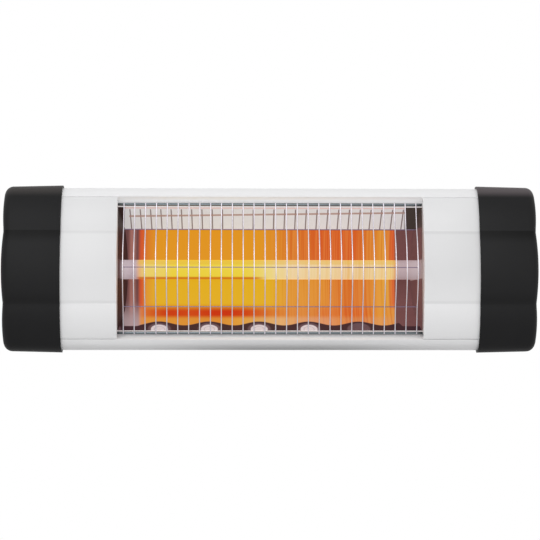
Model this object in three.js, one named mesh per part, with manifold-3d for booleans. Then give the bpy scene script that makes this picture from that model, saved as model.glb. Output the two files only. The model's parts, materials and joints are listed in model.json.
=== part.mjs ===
// Wall-mounted infrared bar heater: a three-lobed casing between two plastic end caps, a quartz
// lamp in a polished trough behind a welded wire guard, and a tilting bracket behind it.
// Millimetres. X runs along the heater, +Z is up, the front faces -Y and the wall is Y = 0.
import * as THREE from 'three';
import { mergeVertices } from 'three/addons/utils/BufferGeometryUtils.js';
import Module from 'manifold-3d';

const booleans = await Module();
booleans.setup();

// ---- driving dimensions ---------------------------------------------------------------------

const fitGap = 0.3;               // between two pieces that seat on each other

// casing section; a depth is counted back from the crown of the middle lobe
const overallLength = 600;
const casingHeight = 188.6;
const casingDepth = 95;
const lobeHalfHeight = 41;        // middle lobe, centre line to crease
const lobeCrown = 5.5;            // middle lobe, crown in front of its creases
const shoulderDrop = 7.8;         // from the top down to where the outer lobe starts its corner
const shoulderDepth = 20;
const outerLobeRise = 3.4;
const cornerRise = 1.9;
const topFrontDepth = 35;
const topRearDepth = 42;
const rearHalfHeight = 62;
const rearCornerRadius = 10.2;

// end caps
const capLength = 66;
const capWall = 2.5;
const capLap = 12;                // how far the casing reaches into a cap
const capDraft = 1.3;             // the cap is this much slimmer at its closed end
const capEndRadius = 8.5;
const capLobeCrown = 1.9;         // the lobes swell the end face too

// sheet metal
const railThickness = 1.6;
const plateThickness = 1.2;
const panelThickness = 1.2;
const bulkheadThickness = 1.5;
const reflectorThickness = 0.8;
const cheekThickness = 1;

// window in the front
const windowHalfLength = 170;
const railCreaseHeight = 80.3;
const railEdgeHeight = 74.6;
const railEdgeDepth = 31;
const railEdgeFlange = 11;
const plateReturn = 8;            // the plate's inner edge is folded back this far
const plateLip = 7;

// rear panel and its screws
const rearFlange = 14;
const panelScrewHeight = 52;
const panelScrewXs = [-150, 0, 150];
const ventCount = 7;              // slots in each of the two groups
const ventLength = 56;
const ventWidth = 4;
const ventPitch = 13;
const ventGroupX = 168;

// reflector
const mouthHalfHeight = 69.8;
const foldHalfHeight = 47.4;
const foldDepth = 62;
const troughRise = 14;            // the back swells this far behind the folds
const troughHalfLength = 173;
const reflectorFlange = 13;
const dishCount = 5;
const dishPitch = 57.5;
const dishCentreX = -12.5;
const dishRadius = 9.2;
const dishDepth = 2;
const dishFromMouth = 10.2;       // up the lower wall, to the dish's centre
const dishSides = 12;
const cheekSplay = 8;             // a cheek leans this far inwards from mouth to back
const cheekMouthX = 172;

// wire guard
const guardWireRadius = 0.8;
const guardCrossRadius = 0.65;
const guardRodRadius = 1.75;
const guardWireCount = 28;
const guardPitch = 12.2;
const guardCrossHeight = 43.4;    // the outer two horizontals
const guardCrossDepth = 20;
const guardBellyDepth = 7.5;
const guardRodHalfLength = 177;
const guardWeldSink = 0.35;       // how far welded wires sink into each other

// lamp
const lampDepth = 47;
const tubeRadius = 11;
const tubeWall = 1.5;
const tubeHalfLength = 206;
const coilFromX = -152;
const coilToX = 145;
const coilTurns = 25;
const coilRadius = 5.2;
const coilWireRadius = 0.7;
const ferruleWall = 2.2;
const ferruleLength = 34;
const ferruleSocket = 16;
const terminalRadius = 2;
const terminalLength = 16;
const terminalNutRadius = 4;
const clipWidth = 9;
const clipThickness = 1.5;
const clipFoot = 15;
const clipScrewReach = 6.7;       // from the band to a screw

// bulkheads and wiring
const bulkheadX = 232;            // inner face
const railFlangeRoom = 3;         // the bulkhead stays this clear of the rails' inner flanges
const leadRadius = 1.6;
const grommetRadius = 5;
const grommetHeight = -18;
const grommetDepth = 83;
const grommetLip = 2;
const blockDepth = 40;            // the terminal block sits on the right bulkhead
const blockHeight = -40;
const blockThickness = 15;
const blockWidth = 40;
const blockTallness = 20;
const blockWayPitch = 13;
const earthDepth = 66;            // the earth screw is on the same bulkhead
const earthHeight = -48;
const tagThickness = 0.8;
const tagBarrelLength = 8;

// cable gland in the right cap
const glandInset = 30;            // from the heater's end
const glandHeight = -30;
const glandThread = 8;
const glandHexagon = 20;          // across flats
const glandLocknutHexagon = 19;
const glandBoreRadius = 4.2;
const glandReachIn = 10;          // the thread, inwards and outwards from the flange
const glandReachOut = 12;
const glandFlange = 5;
const glandLocknutThickness = 4;
const domeRadius = 11;
const domeHeight = 12.7;
const domeWall = 5.6;             // at its closed end

// screws
const largeHead = 4;
const largeShank = 1.6;
const smallHead = 3.3;
const smallShank = 1.5;
const screwClearance = 0.4;
const capScrewLength = 10;
const panelScrewLength = 7;
const clipScrewLength = 5;
const earthScrewLength = 6;
const blockScrewLength = blockThickness + 4;

// bracket
const pivotToPanel = 26;
const pivotToWall = 32;
const earOuterX = 104;
const earThickness = 2;
const earHalfHeight = 22;
const earRoundRadius = 12;
const armThickness = 2.5;
const armHalfHeight = 27;
const wallPlateThickness = 2.5;
const washerThickness = 1.5;
const washerRadius = 10;
const boltRadius = 3;
const boltClearance = 0.4;
const boltHexagon = 10;           // across flats
const boltHeadHeight = 4;
const knobRadius = 15;
const knobHeight = 14;
const knobLobes = 5;
const knobWaist = 2.2;            // how far the hollows between its lobes go in
const knobHub = 4;                // the grip stands this far off the arm
const wallSlotX = 70;             // level slots for the wall screws
const wallSlotWidth = 6;
const wallSlotLength = 16;
const saddleScrewX = 88;
const saddleScrewHeight = 13;

// ---- values that follow ---------------------------------------------------------------------

const halfLength = overallLength / 2;
const halfHeight = casingHeight / 2;
const casingInset = capWall + fitGap;              // casing surface below the cap's surface
const panelFace = casingDepth - casingInset;       // depth of the rear panel's outer face
const rearTurn = Math.atan2(casingDepth - topRearDepth, halfHeight - rearHalfHeight);
const rearCornerReach = rearCornerRadius * Math.tan(rearTurn / 2);   // from the corner to its arc
const railRearDepth = panelFace - panelThickness - fitGap;
const rimX = halfLength - capLength;
const casingEndX = rimX + capLap;
const reflectorFlangeDepth = railEdgeDepth + fitGap;
const rodDepth = reflectorFlangeDepth - fitGap - guardRodRadius;
const rodHeight = railEdgeHeight - fitGap - guardRodRadius;
const wireDepth = rodDepth - guardRodRadius - guardWireRadius + guardWeldSink;
const ferruleRadius = tubeRadius + fitGap + ferruleWall;
const clipScrewHeight = ferruleRadius + fitGap + clipThickness + clipScrewReach;
const ferruleEndX = tubeHalfLength - ferruleSocket + ferruleLength;
const terminalFromX = tubeHalfLength - 1;                       // the stud reaches into the tube
const armInnerX = earOuterX + fitGap + washerThickness + fitGap;
const armOuterX = armInnerX + armThickness;
const boltHoleRadius = boltRadius + boltClearance;
const capScrewX = (rimX + casingEndX) / 2;
const glandX = halfLength - glandInset;
const largeHole = largeShank + screwClearance;
const smallHole = smallShank + screwClearance;
const bulkheadFaceX = bulkheadX + bulkheadThickness + fitGap;   // for what sits on its far side
const blockX = bulkheadFaceX + blockThickness / 2;
const blockEntryX = bulkheadFaceX + blockThickness;
const studX = ferruleEndX + terminalLength - 4;                 // where a lead meets the stud
const tagBarrelRadius = leadRadius + fitGap + 0.5;

const material = (color, roughness, metalness) =>
  new THREE.MeshStandardMaterial({ color, roughness, metalness });
const blackPlastic = material(0x262626, 0.55, 0);
const whitePaint = material(0xe8e8e8, 0.4, 0.1);
const polishedAluminium = material(0xd9d6d2, 0.15, 1);
const brightWire = material(0xd0d2d4, 0.2, 1);
const zincSteel = material(0xb4b7ba, 0.4, 0.9);
const darkSteel = material(0x3a2f2e, 0.5, 0.6);
const quartz = material(0xf2c468, 0.2, 0);
const hotWire = material(0xf09030, 0.5, 0.3);
const steatite = material(0xe4dccb, 0.7, 0);
const brass = material(0xc09a4a, 0.35, 1);
const greyNylon = material(0x55585a, 0.6, 0);
const blackRubber = material(0x1c1c1c, 0.8, 0);
const brownSleeve = material(0x6b3f26, 0.6, 0);
const blueSleeve = material(0x2c5c9c, 0.6, 0);
const greenSleeve = material(0x7fae3a, 0.6, 0);

// ---- geometry helpers -----------------------------------------------------------------------

const axisX = new THREE.Vector3(1, 0, 0);
const axisY = new THREE.Vector3(0, 1, 0);
const axisZ = new THREE.Vector3(0, 0, 1);
const sectionToX = new THREE.Matrix4().makeBasis(axisY, axisZ, axisX);
const sheetToY = new THREE.Matrix4().makeBasis(axisX, axisZ, axisY.clone().negate());

// The heater's own frame starts on the rear panel's outer face, so a depth becomes a Y there.
const yAt = (depth) => depth - panelFace;
const point = (depth, height) => new THREE.Vector2(yAt(depth), height);

// Merged vertices, no collapsed triangles, faces pointing out.
function closed(geometry) {
  const bare = new THREE.BufferGeometry();
  bare.setAttribute('position', geometry.attributes.position.clone());
  if (geometry.index) bare.setIndex(geometry.index.clone());
  const merged = mergeVertices(bare, 1e-4);
  const index = merged.index.array;
  const corner = [new THREE.Vector3(), new THREE.Vector3(), new THREE.Vector3()];
  const kept = [];
  let volume = 0;
  for (let i = 0; i < index.length; i += 3) {
    const [a, b, c] = [index[i], index[i + 1], index[i + 2]];
    if (a === b || b === c || c === a) continue;
    kept.push(a, b, c);
    [a, b, c].forEach((vertex, k) => corner[k].fromBufferAttribute(merged.attributes.position, vertex));
    volume += corner[0].dot(corner[1].clone().cross(corner[2]));
  }
  merged.setIndex(volume < 0 ? kept.reverse() : kept);
  return merged;
}

function toSolid(geometry) {
  const mesh = closed(geometry);
  return new booleans.Manifold(new booleans.Mesh({
    numProp: 3,
    vertProperties: Float32Array.from(mesh.attributes.position.array),
    triVerts: Uint32Array.from(mesh.index.array),
  }));
}

function toGeometry(solid) {
  const mesh = solid.getMesh();
  const geometry = new THREE.BufferGeometry();
  geometry.setAttribute('position', new THREE.BufferAttribute(Float32Array.from(mesh.vertProperties), 3));
  geometry.setIndex(Array.from(mesh.triVerts));
  return geometry;
}

const cut = (geometry, ...tools) =>
  toGeometry(tools.reduce((solid, tool) => solid.subtract(toSolid(tool)), toSolid(geometry)));
const join = (...geometries) =>
  toGeometry(geometries.map(toSolid).reduce((whole, solid) => whole.add(solid)));

// A shape in the YZ plane drawn out along X, and one in the XZ plane drawn out along Y.
function alongX(shape, fromX, toX, curveSegments = 6) {
  const settings = { depth: toX - fromX, bevelEnabled: false, curveSegments };
  return new THREE.ExtrudeGeometry(shape, settings).applyMatrix4(sectionToX).translate(fromX, 0, 0);
}

function alongY(shape, fromY, toY, curveSegments = 6) {
  const settings = { depth: toY - fromY, bevelEnabled: false, curveSegments };
  return new THREE.ExtrudeGeometry(shape, settings).applyMatrix4(sheetToY).translate(0, toY, 0);
}

// A profile of [radius, place] pairs turned about the X or the Y axis.
function turned(profile, segments) {
  return new THREE.LatheGeometry(profile.map(([r, place]) => new THREE.Vector2(r, place)), segments);
}

const turnedAboutX = (profile, segments) => turned(profile, segments).rotateZ(-Math.PI / 2);
const rodAlongX = (radius, fromX, toX, sides) =>
  turnedAboutX([[0, fromX], [radius, fromX], [radius, toX], [0, toX]], sides);
const rodAlongY = (radius, fromY, toY, sides) =>
  turned([[0, fromY], [radius, fromY], [radius, toY], [0, toY]], sides);

function block(sizeX, sizeY, sizeZ, x, y, z) {
  return new THREE.BoxGeometry(sizeX, sizeY, sizeZ).translate(x, y, z);
}

function roundHole(x, y, radius) {
  return new THREE.Path().absarc(x, y, radius, 0, 2 * Math.PI, false);
}

// Points of the arc from a to b that swells by rise to the left of the way from a to b.
function arcPoints(a, b, rise, steps) {
  const chord = b.clone().sub(a);
  const half = chord.length() / 2;
  const radius = (half * half + rise * rise) / (2 * rise);
  const left = new THREE.Vector2(-chord.y, chord.x).normalize();
  const centre = a.clone().add(b).multiplyScalar(0.5).addScaledVector(left, rise - radius);
  const spread = Math.asin(half / radius);
  const start = Math.atan2(a.y - centre.y, a.x - centre.x);
  return Array.from({ length: steps + 1 }, (_, i) => {
    const angle = start - (2 * spread * i) / steps;
    return new THREE.Vector2(centre.x + radius * Math.cos(angle), centre.y + radius * Math.sin(angle));
  });
}

// Moves a line of points sideways, mitred: to the right of its way for a positive distance.
function shifted(points, distance, isClosed) {
  const last = points.length - 1;
  return points.map((here, i) => {
    const before = points[i > 0 ? i - 1 : isClosed ? last : 0];
    const after = points[i < last ? i + 1 : isClosed ? 0 : last];
    const sides = [];
    if (before !== here) sides.push(here.clone().sub(before).normalize());
    if (after !== here) sides.push(after.clone().sub(here).normalize());
    const normals = sides.map((way) => new THREE.Vector2(way.y, -way.x));
    if (normals.length < 2) return here.clone().addScaledVector(normals[0], distance);
    const sum = normals[0].clone().add(normals[1]);
    return here.clone().addScaledVector(sum, distance / (1 + normals[0].dot(normals[1])));
  });
}

// A folded sheet's section: its outer line and the same line one thickness to the right.
function sheetSection(line, thickness) {
  return new THREE.Shape([...line, ...shifted(line, thickness, false).reverse()]);
}

// Where a line of points crosses a value of x or y, and the stretch between two heights.
function crossing(points, axis, value) {
  const i = points.findIndex((p, k) => k > 0 && (p[axis] - value) * (points[k - 1][axis] - value) <= 0);
  const share = (value - points[i - 1][axis]) / (points[i][axis] - points[i - 1][axis]);
  return points[i - 1].clone().lerp(points[i], share);
}

function stretch(points, low, high) {
  const between = points.filter((p) => p.y > low + 0.05 && p.y < high - 0.05);
  return [crossing(points, 'y', low), ...between, crossing(points, 'y', high)];
}

const mirroredUp = (points) => points.map((p) => new THREE.Vector2(p.x, -p.y));

// A line of points as a path, so that an extrusion has exactly one ring at each of them.
class Polyline extends THREE.Curve {
  constructor(points) {
    super();
    this.points = points;
  }

  getPoint(t) {
    const place = t * (this.points.length - 1);
    const i = Math.min(Math.floor(place), this.points.length - 2);
    return this.points[i].clone().lerp(this.points[i + 1], place - i);
  }

  getPointAt(u) {
    return this.getPoint(u);
  }

  getTangentAt(u) {
    const i = Math.round(u * (this.points.length - 1));
    const before = this.points[Math.max(i - 1, 0)];
    const after = this.points[Math.min(i + 1, this.points.length - 1)];
    return after.clone().sub(before).normalize();
  }
}

function wire(points, radius, sides) {
  const section = new THREE.Shape(Array.from({ length: sides }, (_, i) => {
    const angle = (2 * Math.PI * i) / sides;
    return new THREE.Vector2(radius * Math.cos(angle), radius * Math.sin(angle));
  }));
  const path = new Polyline(points);
  return new THREE.ExtrudeGeometry(section, { steps: points.length - 1, extrudePath: path });
}

function lead(points, radius) {
  const curve = new THREE.CatmullRomCurve3(points, false, 'centripetal');
  return wire(curve.getPoints((points.length - 1) * 2), radius, 6);
}

// ---- casing section -------------------------------------------------------------------------

// Clockwise from the bottom of the front to the top, over, and down the rear. The rear has as
// many points as the front, so that a flat end can be laid in strips from one to the other.
function casingOutline() {
  const crease = point(lobeCrown, lobeHalfHeight);
  const shoulder = point(shoulderDepth, halfHeight - shoulderDrop);
  const topFront = point(topFrontDepth, halfHeight);
  const middleLobe = arcPoints(new THREE.Vector2(crease.x, -crease.y), crease, lobeCrown, 6);
  const outerLobe = arcPoints(crease, shoulder, outerLobeRise, 4);
  const corner = arcPoints(shoulder, topFront, cornerRise, 3);
  const upper = [...outerLobe.slice(1), ...corner.slice(1)];
  const front = [...mirroredUp(upper).reverse(), ...middleLobe, ...upper];

  const topRear = point(topRearDepth, halfHeight);
  const rear = point(casingDepth, rearHalfHeight);
  const chamfer = rear.clone().sub(topRear);
  const onChamfer = (share) => topRear.clone().addScaledVector(chamfer, share);
  const turnStart = onChamfer(1 - rearCornerReach / chamfer.length());
  const turnEnd = point(casingDepth, rearHalfHeight - rearCornerReach);
  const half = [
    topRear, onChamfer(0.14), onChamfer(0.4), onChamfer(0.66),
    ...arcPoints(turnStart, turnEnd, rearCornerRadius * (1 - Math.cos(rearTurn / 2)), 3),
    point(casingDepth, lobeHalfHeight * 0.8), point(casingDepth, lobeHalfHeight * 0.4),
  ];
  return [...front, ...half, point(casingDepth, 0), ...mirroredUp(half).reverse()];
}

const capOutline = casingOutline();
const frontCount = capOutline.length / 2;
const casingSurface = shifted(capOutline, casingInset, true);
const casingFront = casingSurface.slice(0, frontCount);
const casingRear = casingSurface.slice(frontCount);

// ---- end caps -------------------------------------------------------------------------------

// How far the end face swells at a height: a crown on each of the three lobes, none in a crease.
function endSwell(height) {
  const away = Math.abs(height);
  if (away <= lobeHalfHeight) return capLobeCrown * (1 - (away / lobeHalfHeight) ** 2);
  const outerHalf = (halfHeight - lobeHalfHeight) / 2;
  const fromMiddle = (away - lobeHalfHeight - outerHalf) / outerHalf;
  return capLobeCrown * 0.6 * (1 - Math.min(1, fromMiddle ** 2));
}

function capRing(side, x, inset, swell) {
  return shifted(capOutline, inset, true).map((p) =>
    new THREE.Vector3(side * (x + swell * endSwell(p.y)), p.x, p.y));
}

// Skins a row of rings, and closes the first and last with strips from front to rear.
function skinned(rings) {
  const count = rings[0].length;
  const index = [];
  rings.slice(1).forEach((ring, r) => {
    for (let i = 0; i < count; i++) {
      const next = (i + 1) % count;
      const [a, b, c, d] = [r * count + i, r * count + next, (r + 1) * count + next, (r + 1) * count + i];
      index.push(a, b, c, a, c, d);
    }
  });
  const closeWith = (base, flip) => {
    for (let i = 0; i < count / 2 - 1; i++) {
      const [a, b, c, d] = [i, i + 1, count - 2 - i, count - 1 - i].map((k) => base + k);
      index.push(...(flip ? [a, b, c, a, c, d] : [a, c, b, a, d, c]));
    }
  };
  closeWith(0, false);
  closeWith((rings.length - 1) * count, true);
  const geometry = new THREE.BufferGeometry().setFromPoints(rings.flat());
  geometry.setIndex(index);
  return geometry;
}

function endCap(side) {
  const span = capLength - capEndRadius - capLobeCrown;
  const endX = halfLength - capLobeCrown;
  const outer = [capRing(side, rimX, 0, 0), capRing(side, rimX + span, capDraft, 0)];
  for (const angle of [35, 65, 90]) {
    const turn = THREE.MathUtils.degToRad(angle);
    const x = endX - capEndRadius * (1 - Math.sin(turn));
    outer.push(capRing(side, x, capDraft + capEndRadius * (1 - Math.cos(turn)), Math.sin(turn)));
  }
  const innerEnd = halfLength - capLobeCrown - capWall;
  const inner = [
    capRing(side, rimX, capWall, 0), capRing(side, casingEndX + 1, capWall, 0),
    capRing(side, innerEnd - capEndRadius + capWall, capDraft + capWall, 0),
    capRing(side, innerEnd, capDraft + capEndRadius, 1),
  ];
  const shell = skinned([...outer.reverse(), ...inner]);
  const holes = [-1, 1].map((up) => rodAlongY(largeHole, -4, 6, 12)
    .translate(side * capScrewX, 0, up * panelScrewHeight));
  if (side > 0) holes.push(glandHole());
  return cut(shell, ...holes);
}

// ---- casing metal ---------------------------------------------------------------------------

// From the flange behind the window's edge, over the crease and the top, to the rear flange.
function railLine() {
  const edge = point(railEdgeDepth, railEdgeHeight);
  const crease = crossing(casingFront, 'y', railCreaseHeight);
  const overFront = casingFront.filter((p) => p.y > railCreaseHeight + 0.5);
  const rearY = yAt(railRearDepth);
  const overRear = casingRear.filter((p) => p.y > 0 && p.x < rearY - 0.5);
  const rearCorner = crossing(casingRear, 'x', rearY);
  return [
    new THREE.Vector2(edge.x, edge.y + railEdgeFlange), edge, crease, ...overFront, ...overRear,
    rearCorner, new THREE.Vector2(rearY, rearCorner.y - rearFlange),
  ];
}

function rail(up) {
  const rail = alongX(sheetSection(railLine(), railThickness), -casingEndX, casingEndX);
  const screwXs = [-capScrewX, ...panelScrewXs, capScrewX];
  const holes = screwXs.map((x) => rodAlongY(largeHole, -12, 2, 8).translate(x, 0, panelScrewHeight));
  return cut(rail, ...holes).scale(1, 1, up);
}

// The three-lobed sheet beside the window, its top and bottom folded in along the rails.
function frontPlate(side) {
  const edgeHeight = railCreaseHeight - 0.5;
  const face = stretch(casingFront, -edgeHeight, edgeHeight);
  const crease = crossing(casingFront, 'y', railCreaseHeight);
  const inward = point(railEdgeDepth, railEdgeHeight).sub(crease).normalize();
  const top = face.at(-1).clone().addScaledVector(inward, plateLip);
  const line = [new THREE.Vector2(top.x, -top.y), ...face, top];
  const sheet = alongX(sheetSection(line, plateThickness), windowHalfLength, casingEndX);
  const flangeLine = shifted(face, plateThickness * 0.5, false);
  const flangeBack = flangeLine.map((p) => new THREE.Vector2(p.x + plateReturn, p.y));
  const keepIn = (p) => new THREE.Vector2(p.x, THREE.MathUtils.clamp(p.y, -railEdgeHeight, railEdgeHeight));
  const flange = new THREE.Shape([...flangeLine.map(keepIn), ...flangeBack.map(keepIn).reverse()]);
  const returned = alongX(flange, windowHalfLength, windowHalfLength + plateThickness);
  return join(sheet, returned).scale(side, 1, 1);
}

function rearPanel() {
  const edge = rearHalfHeight - rearCornerReach - fitGap;
  const outline = new THREE.Shape([
    new THREE.Vector2(-casingEndX, -edge), new THREE.Vector2(casingEndX, -edge),
    new THREE.Vector2(casingEndX, edge), new THREE.Vector2(-casingEndX, edge),
  ]);
  for (const x of [-capScrewX, ...panelScrewXs, capScrewX]) {
    for (const z of [-panelScrewHeight, panelScrewHeight]) outline.holes.push(roundHole(x, z, largeHole));
  }
  for (const side of [-1, 1]) {
    for (let i = 0; i < ventCount; i++) {
      const x = side * (ventGroupX + (i - (ventCount - 1) / 2) * ventPitch);
      outline.holes.push(slot(x, ventLength, ventWidth, 0));
    }
    for (const up of [-1, 1]) {
      outline.holes.push(roundHole(side * saddleScrewX, up * saddleScrewHeight, smallHole));
    }
  }
  return alongY(outline, -panelThickness, 0, 4);
}

// A slot with round ends about x, 0: upright, or turned by a quarter.
function slot(x, length, width, turn) {
  const straight = (length - width) / 2;
  const points = Array.from({ length: 8 }, (_, i) => {
    const up = i < 4 ? 1 : -1;
    const angle = (Math.PI * (i < 4 ? i : i - 1)) / 3;
    return new THREE.Vector2((width / 2) * Math.cos(angle), (width / 2) * Math.sin(angle) + up * straight);
  });
  const centre = new THREE.Vector2(x, 0);
  return new THREE.Path(points.map((p) => p.rotateAround(new THREE.Vector2(), turn).add(centre)));
}

// Closes the section inside a cap and carries the lamp.
function bulkhead(side) {
  const inset = casingInset + railThickness + fitGap;
  const rearLimit = yAt(railRearDepth - railThickness - fitGap);
  const outline = shifted(capOutline, inset, true)
    .map((p) => new THREE.Vector2(Math.min(p.x, rearLimit), p.y));
  const shape = new THREE.Shape(outline);
  shape.holes.push(roundHole(yAt(lampDepth), 0, ferruleRadius + 0.8));
  shape.holes.push(roundHole(yAt(grommetDepth), grommetHeight, grommetRadius + fitGap));
  for (const up of [-1, 1]) shape.holes.push(roundHole(yAt(lampDepth), up * clipScrewHeight, smallHole));
  if (side > 0) {
    shape.holes.push(roundHole(yAt(earthDepth), earthHeight, smallHole));
    for (const way of [-0.5, 0.5]) {
      shape.holes.push(roundHole(yAt(blockDepth) + way * blockWayPitch, blockHeight, smallHole));
    }
  }
  const sheet = alongX(shape, bulkheadX, bulkheadX + bulkheadThickness);
  const notchFoot = railEdgeHeight - railFlangeRoom;
  const notchHeight = halfHeight - notchFoot;
  const notchDepth = railEdgeDepth + railFlangeRoom;
  const notches = [-1, 1].map((up) => block(bulkheadThickness * 4, notchDepth, notchHeight,
    bulkheadX, yAt(notchDepth / 2), up * (notchFoot + notchHeight / 2)));
  return cut(sheet, ...notches).scale(side, 1, 1);
}

// ---- reflector ------------------------------------------------------------------------------

// The trough seen from the end, top to bottom, on its polished side.
function troughLine() {
  const fold = point(foldDepth, foldHalfHeight);
  const back = arcPoints(fold, new THREE.Vector2(fold.x, -fold.y), troughRise, 10);
  const mouth = point(reflectorFlangeDepth + reflectorThickness, mouthHalfHeight);
  return [mouth, ...back, new THREE.Vector2(mouth.x, -mouth.y)];
}

function reflector() {
  const trough = troughLine();
  const flangeDepth = reflectorFlangeDepth + reflectorThickness;
  const flangeEnd = (up) => point(flangeDepth, up * (mouthHalfHeight + reflectorFlange));
  const line = [flangeEnd(1), ...trough, flangeEnd(-1)];
  const section = new THREE.Shape([...line, ...shifted(line, -reflectorThickness, false).reverse()]);
  const sheet = alongX(section, -troughHalfLength, troughHalfLength);
  const xs = Array.from({ length: dishCount }, (_, i) => dishCentreX + (i - (dishCount - 1) / 2) * dishPitch);
  const plugs = xs.map((x) => onLowerWall(rodAlongY(dishRadius, -4, 4, dishSides), x));
  const dishes = xs.map((x) => onLowerWall(dish(), x));
  return join(cut(sheet, ...plugs), ...dishes);
}

// A pressed dish with its hollow side towards +Y of its own frame.
function dish() {
  const rim = dishRadius + 0.25;
  const line = [[rim, -0.1], [dishRadius * 0.66, -dishDepth], [0, -dishDepth]];
  const under = line.map(([r, place]) => [r, place - reflectorThickness]).reverse();
  return turned([...under, ...line], dishSides);
}

function onLowerWall(geometry, x) {
  const mouth = point(reflectorFlangeDepth + reflectorThickness, -mouthHalfHeight);
  const fold = point(foldDepth, -foldHalfHeight);
  const wall = fold.sub(mouth);
  const slope = wall.angle();
  const centre = mouth.addScaledVector(wall.normalize(), dishFromMouth);
  return geometry.rotateX(Math.PI / 2 + slope).translate(x, centre.x, centre.y);
}

// An end plate of the trough that leans inwards towards the back, with a hole for the lamp.
function cheek(side) {
  const line = shifted(troughLine(), fitGap, false);
  const shape = new THREE.Shape(line);
  shape.holes.push(roundHole(yAt(lampDepth), 0, tubeRadius + 1));
  const plate = alongX(shape, cheekMouthX - cheekThickness, cheekMouthX);
  const places = plate.attributes.position;
  const mouthY = yAt(reflectorFlangeDepth + reflectorThickness);
  const backY = yAt(foldDepth + troughRise);
  for (let i = 0; i < places.count; i++) {
    const share = (places.getY(i) - mouthY) / (backY - mouthY);
    places.setX(i, places.getX(i) - cheekSplay * share);
  }
  return plate.scale(side, 1, 1);
}

// ---- wire guard -----------------------------------------------------------------------------

// One upright from rod to rod: straight to the outer horizontals, then bellied out between them.
function guardLine() {
  const belly = arcPoints(point(guardCrossDepth, -guardCrossHeight), point(guardCrossDepth, guardCrossHeight),
    guardCrossDepth - guardBellyDepth, 4);
  const end = (up) => point(wireDepth, up * (rodHeight + guardRodRadius - guardWireRadius));
  return [end(-1), ...belly, end(1)];
}

function guard() {
  const line = guardLine();
  const reach = ((guardWireCount - 1) * guardPitch) / 2;
  const uprights = Array.from({ length: guardWireCount }, (_, i) => {
    const x = -reach + i * guardPitch;
    return wire(line.map((p) => new THREE.Vector3(x, p.x, p.y)), guardWireRadius, 5);
  });
  const behind = guardWireRadius + guardCrossRadius - guardWeldSink;
  const cross = (depth, z) => rodAlongX(guardCrossRadius, -reach - 0.4, reach + 0.4, 5)
    .translate(0, yAt(depth) + behind, z);
  const rods = [-1, 1].map((up) => rodAlongX(guardRodRadius, -guardRodHalfLength, guardRodHalfLength, 6)
    .translate(0, yAt(rodDepth), up * rodHeight));
  return join(...rods, ...uprights, cross(guardCrossDepth, guardCrossHeight), cross(guardBellyDepth, 0),
    cross(guardCrossDepth, -guardCrossHeight));
}

// ---- lamp -----------------------------------------------------------------------------------

function quartzTube() {
  const inner = tubeRadius - tubeWall;
  const profile = [[inner, -tubeHalfLength], [tubeRadius, -tubeHalfLength], [tubeRadius, tubeHalfLength],
    [inner, tubeHalfLength], [inner, -tubeHalfLength]];
  return turnedAboutX(profile, 28);
}

// One unbroken wire: a straight tail on the axis, the turns, and a tail again.
function heatingCoil() {
  const stepsPerTurn = 8;
  const pitch = (coilToX - coilFromX) / coilTurns;
  const tailEnd = terminalFromX - fitGap;
  const points = [new THREE.Vector3(-tailEnd, 0, 0), new THREE.Vector3(coilFromX - pitch, 0, 0)];
  for (let i = 0; i <= coilTurns * stepsPerTurn; i++) {
    const angle = (2 * Math.PI * i) / stepsPerTurn;
    const x = coilFromX + (pitch * i) / stepsPerTurn;
    points.push(new THREE.Vector3(x, coilRadius * Math.cos(angle), coilRadius * Math.sin(angle)));
  }
  points.push(new THREE.Vector3(coilToX + pitch, 0, 0), new THREE.Vector3(tailEnd, 0, 0));
  const gap = leastGap(points, stepsPerTurn) - 2 * coilWireRadius;
  console.log(`heating coil: ${coilTurns} turns, least gap ${gap.toFixed(2)} mm`);
  return wire(points, coilWireRadius, 5);
}

// The least distance between points of the path that lie a turn or more apart along it.
function leastGap(points, stepsPerTurn) {
  return Math.min(...points.flatMap((here, i) =>
    points.slice(i + stepsPerTurn).map((other) => here.distanceTo(other))));
}

// The ceramic end piece: a socket for the tube, and a bore for the terminal.
function ferrule(side) {
  const mouth = tubeHalfLength - ferruleSocket;
  const socket = tubeRadius + fitGap;
  const seat = tubeHalfLength + fitGap;
  const bore = terminalRadius + fitGap;
  const profile = [
    [socket, mouth], [ferruleRadius - 1, mouth], [ferruleRadius, mouth + 1],
    [ferruleRadius, ferruleEndX - 1.5], [ferruleRadius - 1.5, ferruleEndX],
    [bore, ferruleEndX], [bore, seat], [socket, seat], [socket, mouth],
  ];
  return turnedAboutX(profile, 18).scale(side, 1, 1);
}

// The stud that the filament's tail is welded to, with its nut.
function lampTerminal(side) {
  const to = ferruleEndX + terminalLength;
  const nut = ferruleEndX + 4;
  const profile = [[0, terminalFromX], [terminalRadius, terminalFromX], [terminalRadius, nut],
    [terminalNutRadius, nut], [terminalNutRadius, nut + 3], [terminalRadius, nut + 3],
    [terminalRadius, to], [0, to]];
  return turnedAboutX(profile, 12).scale(side, 1, 1);
}

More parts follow.
